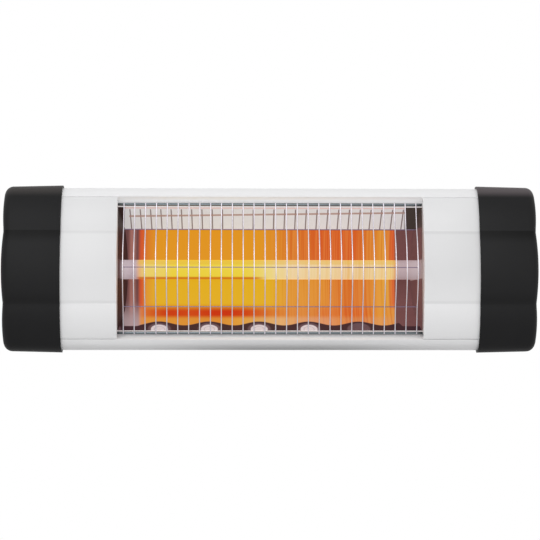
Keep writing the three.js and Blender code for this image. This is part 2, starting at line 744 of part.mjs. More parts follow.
// A band round the ferrule with two feet on the bulkhead.
function lampClip(side) {
  const inner = ferruleRadius + fitGap;
  const outer = inner + clipThickness;
  const from = bulkheadX - fitGap - clipWidth;
  const to = bulkheadX - fitGap;
  const band = turnedAboutX([[inner, from], [outer, from], [outer, to], [inner, to], [inner, from]], 16);
  const lampY = yAt(lampDepth);
  const foot = new THREE.Shape();
  const halfFoot = clipFoot / 2;
  const reach = clipScrewHeight;
  foot.moveTo(-halfFoot, -reach);
  foot.absarc(0, -reach, halfFoot, Math.PI, 2 * Math.PI, false);
  foot.lineTo(halfFoot, reach);
  foot.absarc(0, reach, halfFoot, 0, Math.PI, false);
  for (const up of [-1, 1]) foot.holes.push(roundHole(0, up * reach, smallHole));
  const bore = rodAlongX(inner, from - 1, to + 1, 16);
  const clip = cut(join(band, alongX(foot, to - clipThickness, to, 5)), bore);
  return clip.translate(0, lampY, 0).scale(side, 1, 1);
}

// ---- wiring ---------------------------------------------------------------------------------

// Three ways side by side, each with a screw pit on top and a wire entry, and two fixing holes.
function terminalBlock() {
  const body = block(blockThickness, blockWidth, blockTallness, 0, 0, 0);
  const fixings = [-0.5, 0.5].map((way) =>
    rodAlongX(smallHole, -blockThickness, blockThickness, 10).translate(0, way * blockWayPitch, 0));
  const entries = [-1, 0, 1].map((way) =>
    rodAlongX(leadRadius + 0.6, 0, blockThickness, 10).translate(0, way * blockWayPitch, 0));
  const pits = [-1, 0, 1].map((way) => new THREE.CylinderGeometry(2.1, 2.1, 8, 10)
    .rotateX(Math.PI / 2).translate(-2, way * blockWayPitch, blockTallness / 2));
  return cut(body, ...fixings, ...entries, ...pits).translate(blockX, yAt(blockDepth), blockHeight);
}

function grommet(side) {
  const inner = leadRadius + 0.7;
  const groove = [bulkheadX - fitGap, bulkheadFaceX];
  const from = groove[0] - grommetLip;
  const to = groove[1] + grommetLip;
  const lip = grommetRadius + grommetLip;
  const profile = [[inner, from], [lip, from], [lip, groove[0]], [grommetRadius, groove[0]],
    [grommetRadius, groove[1]], [lip, groove[1]], [lip, to], [inner, to], [inner, from]];
  return turnedAboutX(profile, 12).scale(side, 1, 1).translate(0, yAt(grommetDepth), grommetHeight);
}

// The ring tag under the earth screw: a flat ring, a tongue and a barrel for the lead.
function ringTag() {
  const place = new THREE.Shape();
  const tongue = tagBarrelRadius;
  place.moveTo(tongue, -largeHead - 4);
  place.lineTo(tongue, -tongue);
  place.absarc(0, 0, largeHead, -0.6, Math.PI + 0.6, false);
  place.lineTo(-tongue, -largeHead - 4);
  place.holes.push(roundHole(0, 0, smallHole));
  const ring = alongX(place, 0, tagThickness, 8);
  const barrel = new THREE.CylinderGeometry(tagBarrelRadius, tagBarrelRadius, tagBarrelLength, 12);
  const bore = new THREE.CylinderGeometry(leadRadius + fitGap, leadRadius + fitGap, tagBarrelLength * 2, 12);
  const barrelHeight = -largeHead - tagBarrelLength / 2 - 0.6;
  const lower = (tube) => tube.rotateX(Math.PI / 2).translate(tagBarrelRadius, 0, barrelHeight);
  return cut(join(ring, lower(barrel)), lower(bore)).translate(bulkheadFaceX, yAt(earthDepth), earthHeight);
}

const vector = (x, depth, z) => new THREE.Vector3(x, yAt(depth), z);

// The points by which a lead leaves one way of the terminal block.
function blockEntry(way) {
  const depth = blockDepth + way * blockWayPitch;
  return [-5, 2, 6].map((away) => vector(blockEntryX + away, depth, blockHeight));
}

function lineLead() {
  const touch = terminalRadius + leadRadius + fitGap;
  return lead([
    ...blockEntry(-1), vector(blockEntryX + 9, blockDepth - 11, blockHeight + 9),
    vector(studX, lampDepth - 5, -touch - 12), vector(studX, lampDepth, -touch),
  ], leadRadius);
}

// Goes through both bulkheads and runs the length of the casing behind the trough.
function returnLead() {
  const touch = lampDepth + terminalRadius + leadRadius + fitGap;
  const low = grommetHeight;
  return lead([
    ...blockEntry(1), vector(blockEntryX + 10, grommetDepth - 18, blockHeight + 7),
    vector(bulkheadX + 18, grommetDepth - 2, low - 1),
    vector(bulkheadX + 9, grommetDepth, low), vector(bulkheadX - 9, grommetDepth, low),
    vector(-bulkheadX + 9, grommetDepth, low), vector(-bulkheadX - 6, grommetDepth, low),
    vector(-bulkheadX - 9, grommetDepth, low),
    vector(-studX - 4, lampDepth + 24, -12), vector(-studX, touch + 5, -1), vector(-studX, touch, 0),
  ], leadRadius);
}

// From the middle way of the block down and up again into the ring tag's barrel.
function earthLead() {
  const barrelX = bulkheadFaceX + tagBarrelRadius;
  const mouth = earthHeight - largeHead - tagBarrelLength - 0.6;
  return lead([
    ...blockEntry(0), vector(blockEntryX + 9, blockDepth + 7, blockHeight - 9),
    vector(bulkheadX + 15, earthDepth - 6, mouth - 6), vector(barrelX + 2.5, earthDepth, mouth - 7),
    vector(barrelX, earthDepth, mouth - 3), vector(barrelX, earthDepth, mouth + 2),
    vector(barrelX, earthDepth, mouth + 6),
  ], leadRadius);
}

// ---- cable gland ----------------------------------------------------------------------------

const glandHole = () => rodAlongY(glandThread + fitGap, -10, 10, 16).translate(glandX, 0, glandHeight);

function hexagonAlongY(acrossFlats, fromY, toY, holeRadius) {
  const corner = acrossFlats / Math.sqrt(3);
  const shape = new THREE.Shape(Array.from({ length: 6 }, (_, i) =>
    new THREE.Vector2(corner * Math.cos((i * Math.PI) / 3), corner * Math.sin((i * Math.PI) / 3))));
  if (holeRadius) shape.holes.push(roundHole(0, 0, holeRadius));
  return alongY(shape, fromY, toY, 7);
}

const glandFaceY = yAt(casingDepth) + fitGap;

function glandBody() {
  const [from, to, bore] = [-glandReachIn, glandReachOut, glandBoreRadius];
  const thread = turned([[bore, from], [glandThread, from], [glandThread, to], [bore, to], [bore, from]], 14);
  const flange = hexagonAlongY(glandHexagon, 0, glandFlange, (bore + glandThread) / 2);
  return join(thread, flange).translate(glandX, glandFaceY, glandHeight);
}

function glandDome() {
  const inner = glandThread + fitGap;
  const mouth = glandBoreRadius + fitGap;
  const [from, to] = [glandFlange + fitGap, glandFlange + fitGap + domeHeight];
  const seat = to - domeWall;
  const profile = [[inner, from], [domeRadius, from], [domeRadius, to - 5], [domeRadius - 2, to - 2],
    [mouth, to], [mouth, seat], [inner, seat], [inner, from]];
  return turned(profile, 16).translate(glandX, glandFaceY, glandHeight);
}

function glandLocknut() {
  const innerFace = -capWall - capDraft - 2 * fitGap;
  const bore = glandThread + fitGap;
  return hexagonAlongY(glandLocknutHexagon, innerFace - glandLocknutThickness, innerFace, bore)
    .translate(glandX, glandFaceY, glandHeight);
}

// ---- bracket --------------------------------------------------------------------------------

// A cheek of the bracket: a foot of full height that narrows to a round end about the pivot.
function lugShape(footY, tipY, footHalfHeight, bend) {
  const way = Math.sign(tipY - footY);
  const shape = new THREE.Shape();
  shape.moveTo(footY, -footHalfHeight);
  shape.lineTo(footY + way * bend, -footHalfHeight);
  shape.lineTo(tipY, -earRoundRadius);
  shape.absarc(tipY, 0, earRoundRadius, -Math.PI / 2, Math.PI / 2, way < 0);
  shape.lineTo(footY + way * bend, footHalfHeight);
  shape.lineTo(footY, footHalfHeight);
  shape.holes.push(roundHole(tipY, 0, boltHoleRadius));
  return shape;
}

// The channel on the rear panel; its ears carry the pivot bolts.
function saddle() {
  const backY = fitGap + earThickness;
  const base = new THREE.Shape([
    new THREE.Vector2(-earOuterX, -earHalfHeight), new THREE.Vector2(earOuterX, -earHalfHeight),
    new THREE.Vector2(earOuterX, earHalfHeight), new THREE.Vector2(-earOuterX, earHalfHeight),
  ]);
  for (const x of [-saddleScrewX, saddleScrewX]) {
    for (const up of [-1, 1]) base.holes.push(roundHole(x, up * saddleScrewHeight, smallHole));
  }
  const ears = [-1, 1].map((side) => alongX(lugShape(fitGap, pivotToPanel, earHalfHeight, 7),
    side > 0 ? earOuterX - earThickness : -earOuterX, side > 0 ? earOuterX : earThickness - earOuterX));
  return join(alongY(base, fitGap, backY, 4), ...ears);
}

// In the row's frame: the plate on the wall with its two arms.
function wallBracket() {
  const plate = new THREE.Shape([
    new THREE.Vector2(-armOuterX, -armHalfHeight), new THREE.Vector2(armOuterX, -armHalfHeight),
    new THREE.Vector2(armOuterX, armHalfHeight), new THREE.Vector2(-armOuterX, armHalfHeight),
  ]);
  for (const x of [-wallSlotX, wallSlotX]) {
    plate.holes.push(slot(x, wallSlotLength, wallSlotWidth, Math.PI / 2));
  }
  const arms = [-1, 1].map((side) => alongX(lugShape(0, -pivotToWall, armHalfHeight, 8),
    side > 0 ? armInnerX : -armOuterX, side > 0 ? armOuterX : -armInnerX));
  return join(alongY(plate, -wallPlateThickness, 0), ...arms);
}

function frictionWasher(side) {
  const from = earOuterX + fitGap;
  const profile = [[boltHoleRadius, from], [washerRadius, from], [washerRadius, from + washerThickness],
    [boltHoleRadius, from + washerThickness], [boltHoleRadius, from]];
  return turnedAboutX(profile, 16).scale(side, 1, 1);
}

function pivotBolt(side) {
  const headTo = earOuterX - earThickness - fitGap;
  const head = hexagonAlongY(boltHexagon, -boltHeadHeight, 0).rotateZ(-Math.PI / 2).translate(headTo, 0, 0);
  const shank = rodAlongX(boltRadius, headTo - 1, armOuterX + knobHeight - 4, 16);
  return join(head, shank).scale(side, 1, 1);
}

// A five-lobed hand knob with a hub that bears on the arm and a blind bore for the bolt.
function handKnob(side) {
  const steps = knobLobes * 4;
  const outline = Array.from({ length: steps }, (_, i) => {
    const angle = (2 * Math.PI * i) / steps;
    const radius = knobRadius - knobWaist * (1 - Math.cos(knobLobes * angle)) / 2;
    return new THREE.Vector2(radius * Math.cos(angle), radius * Math.sin(angle));
  });
  const from = armOuterX + fitGap;
  const grip = alongX(new THREE.Shape(outline), from + knobHub, from + knobHeight);
  const hub = rodAlongX(knobRadius * 0.6, from, from + knobHub + 2, 14);
  const bore = rodAlongX(boltHoleRadius, from - 2, from + knobHeight - 3, 12);
  return cut(join(grip, hub), bore).scale(side, 1, 1);
}

// ---- small fasteners ------------------------------------------------------------------------

// A pan-head screw that points to -Y: the head's seat is at Y = 0.
function screw(headRadius, shankRadius, shankLength) {
  const headHeight = headRadius * 0.6;
  const profile = [[0, -shankLength], [shankRadius, -shankLength], [shankRadius, 0], [headRadius, 0],
    [headRadius * 0.75, headHeight], [0, headHeight]];
  return turned(profile, 8);
}

// The same screw turned to point along X.
const screwAlongX = (side, ...size) => screw(...size).rotateZ(side > 0 ? -Math.PI / 2 : Math.PI / 2);

// ---- assembly -------------------------------------------------------------------------------

const heater = new THREE.Group();
heater.position.set(0, -(pivotToWall + pivotToPanel), 0);
const bracket = new THREE.Group();
const root = new THREE.Group();
root.add(bracket, heater);

function place(group, name, geometry, look, x = 0, y = 0, z = 0) {
  const mesh = new THREE.Mesh(closed(geometry), look);
  mesh.name = name;
  mesh.position.set(x, y, z);
  group.add(mesh);
}

place(bracket, 'wall_bracket', wallBracket(), whitePaint);
place(heater, 'top_rail', rail(1), whitePaint);
place(heater, 'bottom_rail', rail(-1), whitePaint);
place(heater, 'rear_panel', rearPanel(), whitePaint);
place(heater, 'reflector', reflector(), polishedAluminium);
place(heater, 'wire_guard', guard(), brightWire);
place(heater, 'quartz_tube', quartzTube(), quartz, 0, yAt(lampDepth));
place(heater, 'heating_coil', heatingCoil(), hotWire, 0, yAt(lampDepth));
place(heater, 'terminal_block', terminalBlock(), steatite);
place(heater, 'line_lead', lineLead(), brownSleeve);
place(heater, 'return_lead', returnLead(), blueSleeve);
place(heater, 'earth_lead', earthLead(), greenSleeve);
place(heater, 'gland_body', glandBody(), blackPlastic);
place(heater, 'gland_dome_nut', glandDome(), blackPlastic);
place(heater, 'gland_locknut', glandLocknut(), blackPlastic);
place(heater, 'mounting_saddle', saddle(), whitePaint);

place(heater, 'earth_ring_tag', ringTag(), brass);
place(heater, 'earth_screw', screwAlongX(1, largeHead, smallShank, earthScrewLength), brass,
  bulkheadFaceX + tagThickness + fitGap, yAt(earthDepth), earthHeight);

for (const side of [-1, 1]) {
  const hand = side < 0 ? 'left' : 'right';
  place(heater, `${hand}_end_cap`, endCap(side), blackPlastic);
  place(heater, `${hand}_front_plate`, frontPlate(side), whitePaint);
  place(heater, `${hand}_bulkhead`, bulkhead(side), zincSteel);
  place(heater, `${hand}_reflector_cheek`, cheek(side), darkSteel);
  place(heater, `${hand}_lamp_ferrule`, ferrule(side), steatite, 0, yAt(lampDepth));
  place(heater, `${hand}_lamp_terminal`, lampTerminal(side), brass, 0, yAt(lampDepth));
  place(heater, `${hand}_lamp_clip`, lampClip(side), zincSteel);
  place(heater, `${hand}_grommet`, grommet(side), blackRubber);
  place(heater, `${hand}_pivot_bolt`, pivotBolt(side), zincSteel, 0, pivotToPanel);
  place(bracket, `${hand}_friction_washer`, frictionWasher(side), greyNylon, 0, -pivotToWall);
  place(bracket, `${hand}_tilt_knob`, handKnob(side), blackPlastic, 0, -pivotToWall);
  [-1, 1].forEach((up, i) => {
    const clipScrew = screwAlongX(-side, smallHead, smallShank, clipScrewLength);
    place(heater, `${hand}_clip_screw_${i + 1}`, clipScrew, zincSteel,
      side * (bulkheadX - 2 * fitGap - clipThickness), yAt(lampDepth), up * clipScrewHeight);
    place(heater, `${hand}_cap_screw_${i + 1}`, screw(largeHead, largeShank, capScrewLength), zincSteel,
      side * capScrewX, yAt(casingDepth) + fitGap, up * panelScrewHeight);
    place(heater, `${hand}_saddle_screw_${i + 1}`, screw(smallHead, smallShank, panelScrewLength), zincSteel,
      side * saddleScrewX, 2 * fitGap + earThickness, up * saddleScrewHeight);
  });
}

const panelScrew = () => screw(smallHead, largeShank, panelScrewLength);
panelScrewXs.forEach((x, i) => {
  place(heater, `panel_screw_top_${i + 1}`, panelScrew(), zincSteel, x, fitGap, panelScrewHeight);
  place(heater, `panel_screw_bottom_${i + 1}`, panelScrew(), zincSteel, x, fitGap, -panelScrewHeight);
});

[-0.5, 0.5].forEach((way, i) => {
  place(heater, `terminal_block_screw_${i + 1}`, screwAlongX(1, smallHead, smallShank, blockScrewLength),
    zincSteel, blockEntryX + fitGap, yAt(blockDepth) + way * blockWayPitch, blockHeight);
});

export default root;
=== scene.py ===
import json
import math
from functools import partialmethod

import bpy
from mathutils import Matrix, Vector

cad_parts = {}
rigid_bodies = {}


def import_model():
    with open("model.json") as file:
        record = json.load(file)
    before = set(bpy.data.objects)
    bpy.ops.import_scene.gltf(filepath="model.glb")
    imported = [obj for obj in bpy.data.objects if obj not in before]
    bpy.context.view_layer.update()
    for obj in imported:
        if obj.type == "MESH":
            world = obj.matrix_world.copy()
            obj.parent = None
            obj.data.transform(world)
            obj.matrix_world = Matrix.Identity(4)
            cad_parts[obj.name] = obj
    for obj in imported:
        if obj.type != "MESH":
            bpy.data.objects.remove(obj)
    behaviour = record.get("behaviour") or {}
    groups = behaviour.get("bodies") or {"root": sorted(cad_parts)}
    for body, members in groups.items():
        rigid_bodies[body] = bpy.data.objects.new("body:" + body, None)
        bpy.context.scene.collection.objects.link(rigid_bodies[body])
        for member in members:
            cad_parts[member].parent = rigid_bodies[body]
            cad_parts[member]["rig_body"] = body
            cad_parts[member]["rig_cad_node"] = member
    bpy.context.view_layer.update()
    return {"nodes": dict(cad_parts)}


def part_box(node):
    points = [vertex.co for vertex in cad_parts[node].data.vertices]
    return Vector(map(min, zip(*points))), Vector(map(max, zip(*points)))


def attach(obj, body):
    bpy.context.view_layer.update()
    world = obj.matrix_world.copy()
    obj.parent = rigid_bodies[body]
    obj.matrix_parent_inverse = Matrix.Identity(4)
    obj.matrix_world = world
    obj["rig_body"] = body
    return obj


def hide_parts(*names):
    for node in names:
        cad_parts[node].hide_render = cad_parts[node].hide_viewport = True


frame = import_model()
print("frame loaded")

mm = 0.001  # a millimetre, in metres
hair = 1e-5  # metres: a length too short to matter
crownY = -0.1502  # the front of the casing's middle lobe


def yAt(depth):  # depths are counted back from the crown, in millimetres
    return crownY + depth * mm


def spot(x, depth, height):  # a place, from millimetres
    return Vector((x * mm, yAt(depth), height * mm))


# shader tools

class Value:
    # one output socket, with arithmetic that adds Math nodes
    def __init__(self, nodes, socket):
        self.nodes = nodes
        self.socket = socket

    def math(self, operation, *others):
        return self.nodes.add("Math", dict(enumerate((self, *others))), operation=operation)

    __add__ = partialmethod(math, "ADD")
    __sub__ = partialmethod(math, "SUBTRACT")
    __mul__ = partialmethod(math, "MULTIPLY")
    __truediv__ = partialmethod(math, "DIVIDE")
    __pow__ = partialmethod(math, "POWER")
    __abs__ = partialmethod(math, "ABSOLUTE")

    def __rsub__(self, other):
        return self * -1 + other


def emptyMaterial(name):
    material = bpy.data.materials.new(name)
    material.use_nodes = True
    material.node_tree.nodes.clear()
    return material


class Nodes:
    # a node tree that grows node by node
    def __init__(self, tree):
        self.tree = tree

    def add(self, kind, inputs=None, out=0, **settings):
        node = self.tree.nodes.new("ShaderNode" + kind)
        for key, value in settings.items():
            setattr(node, key, value)
        for key, value in (inputs or {}).items():
            self.link(node.inputs[key], value)
        return Value(self, node.outputs[out])

    def link(self, socket, value):
        if isinstance(value, Value):
            self.tree.links.new(value.socket, socket)
        else:
            socket.default_value = value


class Look(Nodes):
    # a material round one Principled shader
    def __init__(self, name, **constants):
        self.material = emptyMaterial(name)
        super().__init__(self.material.node_tree)
        self.shader = self.tree.nodes.new("ShaderNodeBsdfPrincipled")
        output = self.tree.nodes.new("ShaderNodeOutputMaterial")
        self.tree.links.new(self.shader.outputs["BSDF"], output.inputs["Surface"])
        self.place = self.add("TexCoord", out="Object")
        self.feed(**constants)

    def feed(self, **values):
        for key, value in values.items():
            self.link(self.shader.inputs[key.replace("_", " ")], value)

    def axes(self):
        return [self.add("SeparateXYZ", {0: self.place}, axis) for axis in "XYZ"]

    def noise(self, scale, detail=2, stretch=None):
        vector = self.place
        if stretch:
            vector = self.add("Mapping", {"Vector": vector, "Scale": stretch})
        return self.add("TexNoise", {"Vector": vector, "Scale": scale, "Detail": detail})

    def ramp(self, value, stops):
        colours = self.add("ValToRGB", {0: value})
        elements = colours.socket.node.color_ramp.elements
        while len(elements) < len(stops):
            elements.new(1)
        for element, (position, colour) in zip(elements, stops):
            element.position = position
            element.color = colour
        return colours

    def rise(self, value, low, high):  # 0 at low, 1 at high
        band = {"Value": value, "From Min": low, "From Max": high}
        return self.add("MapRange", band, interpolation_type="SMOOTHSTEP")

    def between(self, value, start, end):  # rises over the start and falls over the end
        return self.rise(value, *start) * self.rise(value, *end)

    def near(self, value, place, far, close):  # 1 close to the place, 0 far from it
        return self.rise(abs(value - place), far, close)

    def mix(self, factor, first, second):
        return self.add("Mix", {0: factor, 6: first, 7: second}, 2, data_type="RGBA")

    def bump(self, scale, strength, distance, stretch=None):
        inputs = {"Height": self.noise(scale, 2, stretch), "Strength": strength, "Distance": distance}
        self.feed(Normal=self.add("Bump", inputs))


def shade(red, green, blue):  # a screen colour of 0 to 255, made linear
    def linear(part):
        part /= 255
        return part / 12.92 if part <= 0.04045 else ((part + 0.055) / 1.055) ** 2.4
    return (linear(red), linear(green), linear(blue), 1)


black = shade(0, 0, 0)


def scaled(colour, share):  # a darker or lighter colour
    return tuple(min(1, part * share) for part in colour[:3]) + (1,)


# modelling tools

def alone(piece):
    bpy.ops.object.select_all(action="DESELECT")
    piece.select_set(True)
    bpy.context.view_layer.objects.active = piece


def made(name):
    piece = bpy.context.object
    piece.name = name
    return piece


def edit(piece, select="SELECT"):
    alone(piece)
    bpy.ops.object.mode_set(mode="EDIT")
    bpy.ops.mesh.select_all(action=select)


def pick(piece, test):  # edit mode, with only the vertices selected that pass the test
    edit(piece, "DESELECT")
    bpy.ops.mesh.select_mode(type="VERT")
    done()
    for vertex in piece.data.vertices:
        vertex.select = test(vertex.co)
    bpy.ops.object.mode_set(mode="EDIT")


def done():
    bpy.ops.object.mode_set(mode="OBJECT")


def drawOut(offset):
    bpy.ops.mesh.extrude_region_move(TRANSFORM_OT_translate={"value": offset})


def inset(inward, outward):
    bpy.ops.mesh.inset(thickness=inward * mm, depth=outward * mm, use_even_offset=True)


def settle(piece):  # place and turn go into the mesh
    alone(piece)
    bpy.ops.object.transform_apply(location=True, rotation=True, scale=True)
    return piece


def fresh(primitive, name, **settings):  # a new piece from one of Blender's primitives
    bpy.ops.object.select_all(action="DESELECT")
    primitive(**settings)
    return settle(made(name))


def modify(piece, kind, **settings):
    alone(piece)
    modifier = piece.modifiers.new(kind.title(), kind)
    for key, value in settings.items():
        setattr(modifier, key, value)
    bpy.ops.object.modifier_apply(modifier=modifier.name)
    return piece


def walled(piece, thickness, **settings):  # the wall grows behind the sheet's face
    return modify(piece, "SOLIDIFY", thickness=thickness * mm, offset=-1, use_even_offset=True,
                  use_rim=True, **settings)


def eased(piece, width, segments=2, angle=30):
    return modify(piece, "BEVEL", width=width * mm, segments=segments, limit_method="ANGLE",
                  angle_limit=math.radians(angle), use_clamp_overlap=True)


def boolean(piece, tool, operation):
    modify(piece, "BOOLEAN", object=tool, operation=operation, solver="EXACT")
    bpy.data.objects.remove(tool)
    return piece


alongX = (0, math.pi / 2, 0)
alongY = (math.pi / 2, 0, 0)


def cylinder(name, radius, length, sides, place=(0, 0, 0), turn=(0, 0, 0), **settings):
    return fresh(bpy.ops.mesh.primitive_cylinder_add, name, vertices=sides, radius=radius * mm,
                 depth=length * mm, location=place, rotation=turn, **settings)


def edited(piece, operator, **settings):  # one operator on the whole mesh
    edit(piece)
    operator(**settings)
    done()
    return piece


def merged(piece):
    return edited(piece, bpy.ops.mesh.remove_doubles, threshold=1e-6)


def outward(piece):
    return edited(piece, bpy.ops.mesh.normals_make_consistent, inside=False)


def smooth(piece, angle=35):
    alone(piece)
    bpy.ops.object.shade_smooth_by_angle(angle=math.radians(angle))
    return piece


def twin(piece, name, matrix=None):
    copy = piece.copy()
    copy.data = piece.data.copy()
    copy.name = name
    bpy.context.scene.collection.objects.link(copy)
    if matrix is not None:
        copy.data.transform(matrix)
        if matrix.determinant() < 0:
            copy.data.flip_normals()
    return copy


def joined(pieces, name):
    bpy.ops.object.select_all(action="DESELECT")
    for piece in pieces:
        piece.select_set(True)
    bpy.context.view_layer.objects.active = pieces[0]
    bpy.ops.object.join()
    return made(name)


def camel(node):  # the name of the piece that stands for a node
    first, *others = node.split("_")
    return first + "".join(word.title() for word in others)


def painted(piece, *coats):
    piece.data.materials.clear()
    for look in coats:
        piece.data.materials.append(look.material)
    return piece


def hand(piece, slot, *nodes, body="heater", look=None):
    # the piece takes the place of those nodes, in its own look or its slot's, if there is one
    if look or slot in looks:
        painted(piece, looks[look or slot])
    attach(piece, body)
    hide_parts(*nodes)


def rounded(node, width, segments=2):
    # the node's solid, its loose triangles joined into clean faces and its edges eased
    piece = twin(frame["nodes"][node], camel(node))
    piece.parent = None
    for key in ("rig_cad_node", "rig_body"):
        if key in piece:
            del piece[key]
    edit(piece)
    bpy.ops.mesh.remove_doubles(threshold=2e-6)
    bpy.ops.mesh.dissolve_limited(angle_limit=math.radians(0.6))
    done()
    if width:
        eased(piece, width, segments)
    return smooth(piece)


# finishes

def speckled(look, colour, change, scale, roughness, spread):
    grain = look.noise(scale, 4)
    coat = look.mix(grain, scaled(colour, 1 - change), scaled(colour, 1 + change))
    look.feed(Base_Color=coat, Roughness=grain * spread + (roughness - spread / 2))
    return coat


capLook = {
    "plastic": shade(25, 25, 26),
    # the shade inside the creases, by height in millimetres from the middle and by depth
    "groove": ((25, 40), (41.4, 41)),
    "grooveDepths": (22, 14),
    "grooveShade": 0.25,
    "upperGrooveMore": 0.65,
    # a painted highlight along the top, on the left and on the right
    "haze": (shade(60, 57, 56), shade(86, 80, 82)),
    "paintedTopHighlightBand": (0.079, 0.0885),
}


def capPlastic():
    c = capLook
    look = Look("mouldedBlackPlastic", Specular_IOR_Level=0.14)
    coat = speckled(look, c["plastic"], 0.1, 60, 0.5, 0.08)
    x, y, z = look.axes()
    groove = look.between(abs(z) * 1000, *c["groove"]) * look.rise(y, *map(yAt, c["grooveDepths"]))
    depth = look.rise(z, -0.01, 0.01) * c["upperGrooveMore"] + c["grooveShade"]
    # a painted highlight along the top rounding, brighter on the right
    haze = look.mix(look.rise(x, -0.1, 0.1), *c["haze"])
    coat = look.mix(groove * depth, coat, black)
    look.feed(Base_Color=look.mix(look.rise(z, *c["paintedTopHighlightBand"]), coat, haze))
    look.bump(1800, 0.12, 0.0002)
    return look


enamelLook = {
    "paint": shade(238, 238, 239),
    # front plates: the shade in the creases and on the middle lobe, by height from the middle
    "groove": ((36.4, 38.6), (40.8, 40.4)),
    "grooveShade": 0.07,
    "middleLobe": (41, 40),
    "middleShade": 0.05,
    "plateShade": 0.09,
    "plateBand": (-0.045, 0.005),
    # top rail: the face that turns in to the window, and the lamp's light on it
    "turnedBand": (0.081, 0.0796),
    "turnedDepths": (33, 31.5),
    "lamplight": (shade(108, 108, 108), shade(162, 162, 163)),
    "lamplightBand": (0.080, 0.0762),
    # bottom rail: the shade under its middle, which grows towards its foot
    "underBand": (-0.079, -0.083),
    "underShade": 0.14,
    "footBand": (-0.083, -0.0945),
    "footShade": 0.5,
}


def enamel(name):  # a look, its coat, and the X, Y and Z to change the coat by
    look = Look(name, Specular_IOR_Level=0.35)
    coat = speckled(look, enamelLook["paint"], 0.012, 14, 0.34, 0.06)
    look.bump(700, 0.05, 0.0002)
    return look, coat, look.axes()


def plateEnamel():
    e = enamelLook
    look, coat, (x, y, z) = enamel("plateEnamel")
    away = abs(z) * 1000
    middle = look.rise(x, 0, 0.1) * look.rise(away, *e["middleLobe"])
    tone = look.rise(z, *e["plateBand"]) * (middle * e["middleShade"] + e["plateShade"])
    tone += look.between(away, *e["groove"]) * e["grooveShade"]
    look.feed(Base_Color=look.mix(tone, coat, black))
    return look


def upperEnamel():
    e = enamelLook
    look, coat, (x, y, z) = enamel("topRailEnamel")
    inward = look.rise(z, *e["turnedBand"]) * look.rise(y, *map(yAt, e["turnedDepths"]))
    light = look.mix(look.rise(z, *e["lamplightBand"]), *e["lamplight"])
    look.feed(Emission_Color=look.mix(inward, black, light), Emission_Strength=1.0)
    return look


def lowerEnamel():
    e = enamelLook
    look, coat, (x, y, z) = enamel("bottomRailEnamel")
    depth = look.rise(z, *e["footBand"]) * e["footShade"] + e["underShade"]
    tone = look.near(x, 0.02, 0.2, 0.02) * depth * look.rise(z, *e["underBand"])
    look.feed(Base_Color=look.mix(tone, coat, black))
    return look


def plainMetal(name, colour, roughness, brushed=None):
    colour = shade(*colour)
    look = Look(name, Metallic=1.0)
    grain = look.noise(90, 4, brushed)
    coat = look.mix(grain, scaled(colour, 0.82), colour)
    look.feed(Base_Color=coat, Roughness=grain * 0.14 + (roughness - 0.07))
    look.bump(1500, 0.06, 0.0001, brushed)
    return look


def moulded(name, colour, roughness):
    look = Look(name)
    speckled(look, shade(*colour), 0.12, 120, roughness, 0.1)
    look.bump(1300, 0.1, 0.0002)
    return look


def earthSleeve():  # green and yellow stripes
    look = Look("greenYellowSleeve", Roughness=0.5)
    x, y, z = look.axes()
    stripe = look.rise(((y + z) * 900).math("SINE"), -0.1, 0.1)
    look.feed(Base_Color=look.mix(stripe, shade(66, 140, 60), shade(224, 208, 60)))
    look.bump(1300, 0.1, 0.0002)
    return look


looks = {
    # by slot, and those that some pieces of a slot have for themselves
    "end_cap_plastic": capPlastic(),
    "white_enamel": enamel("whiteEnamel")[0],
    "zinc_steel": plainMetal("zincSteel", (190, 192, 196), 0.38, (1, 1, 6)),
    "brass_plain": plainMetal("brass", (206, 168, 92), 0.3),
    "steatite": moulded("steatite", (226, 218, 200), 0.7),
    "nylon_grey": moulded("greyNylon", (112, 114, 118), 0.55),
    "rubber_black": moulded("blackRubber", (34, 34, 35), 0.75),
    "sleeve_brown": moulded("brownSleeve", (112, 66, 40), 0.5),
    "sleeve_blue": moulded("blueSleeve", (52, 98, 166), 0.5),
    "sleeve_green_yellow": earthSleeve(),
    "plate": plateEnamel(),
    "upper": upperEnamel(),
    "lower": lowerEnamel(),
}
print("plain finishes made")


# sheet metal drawn through its section

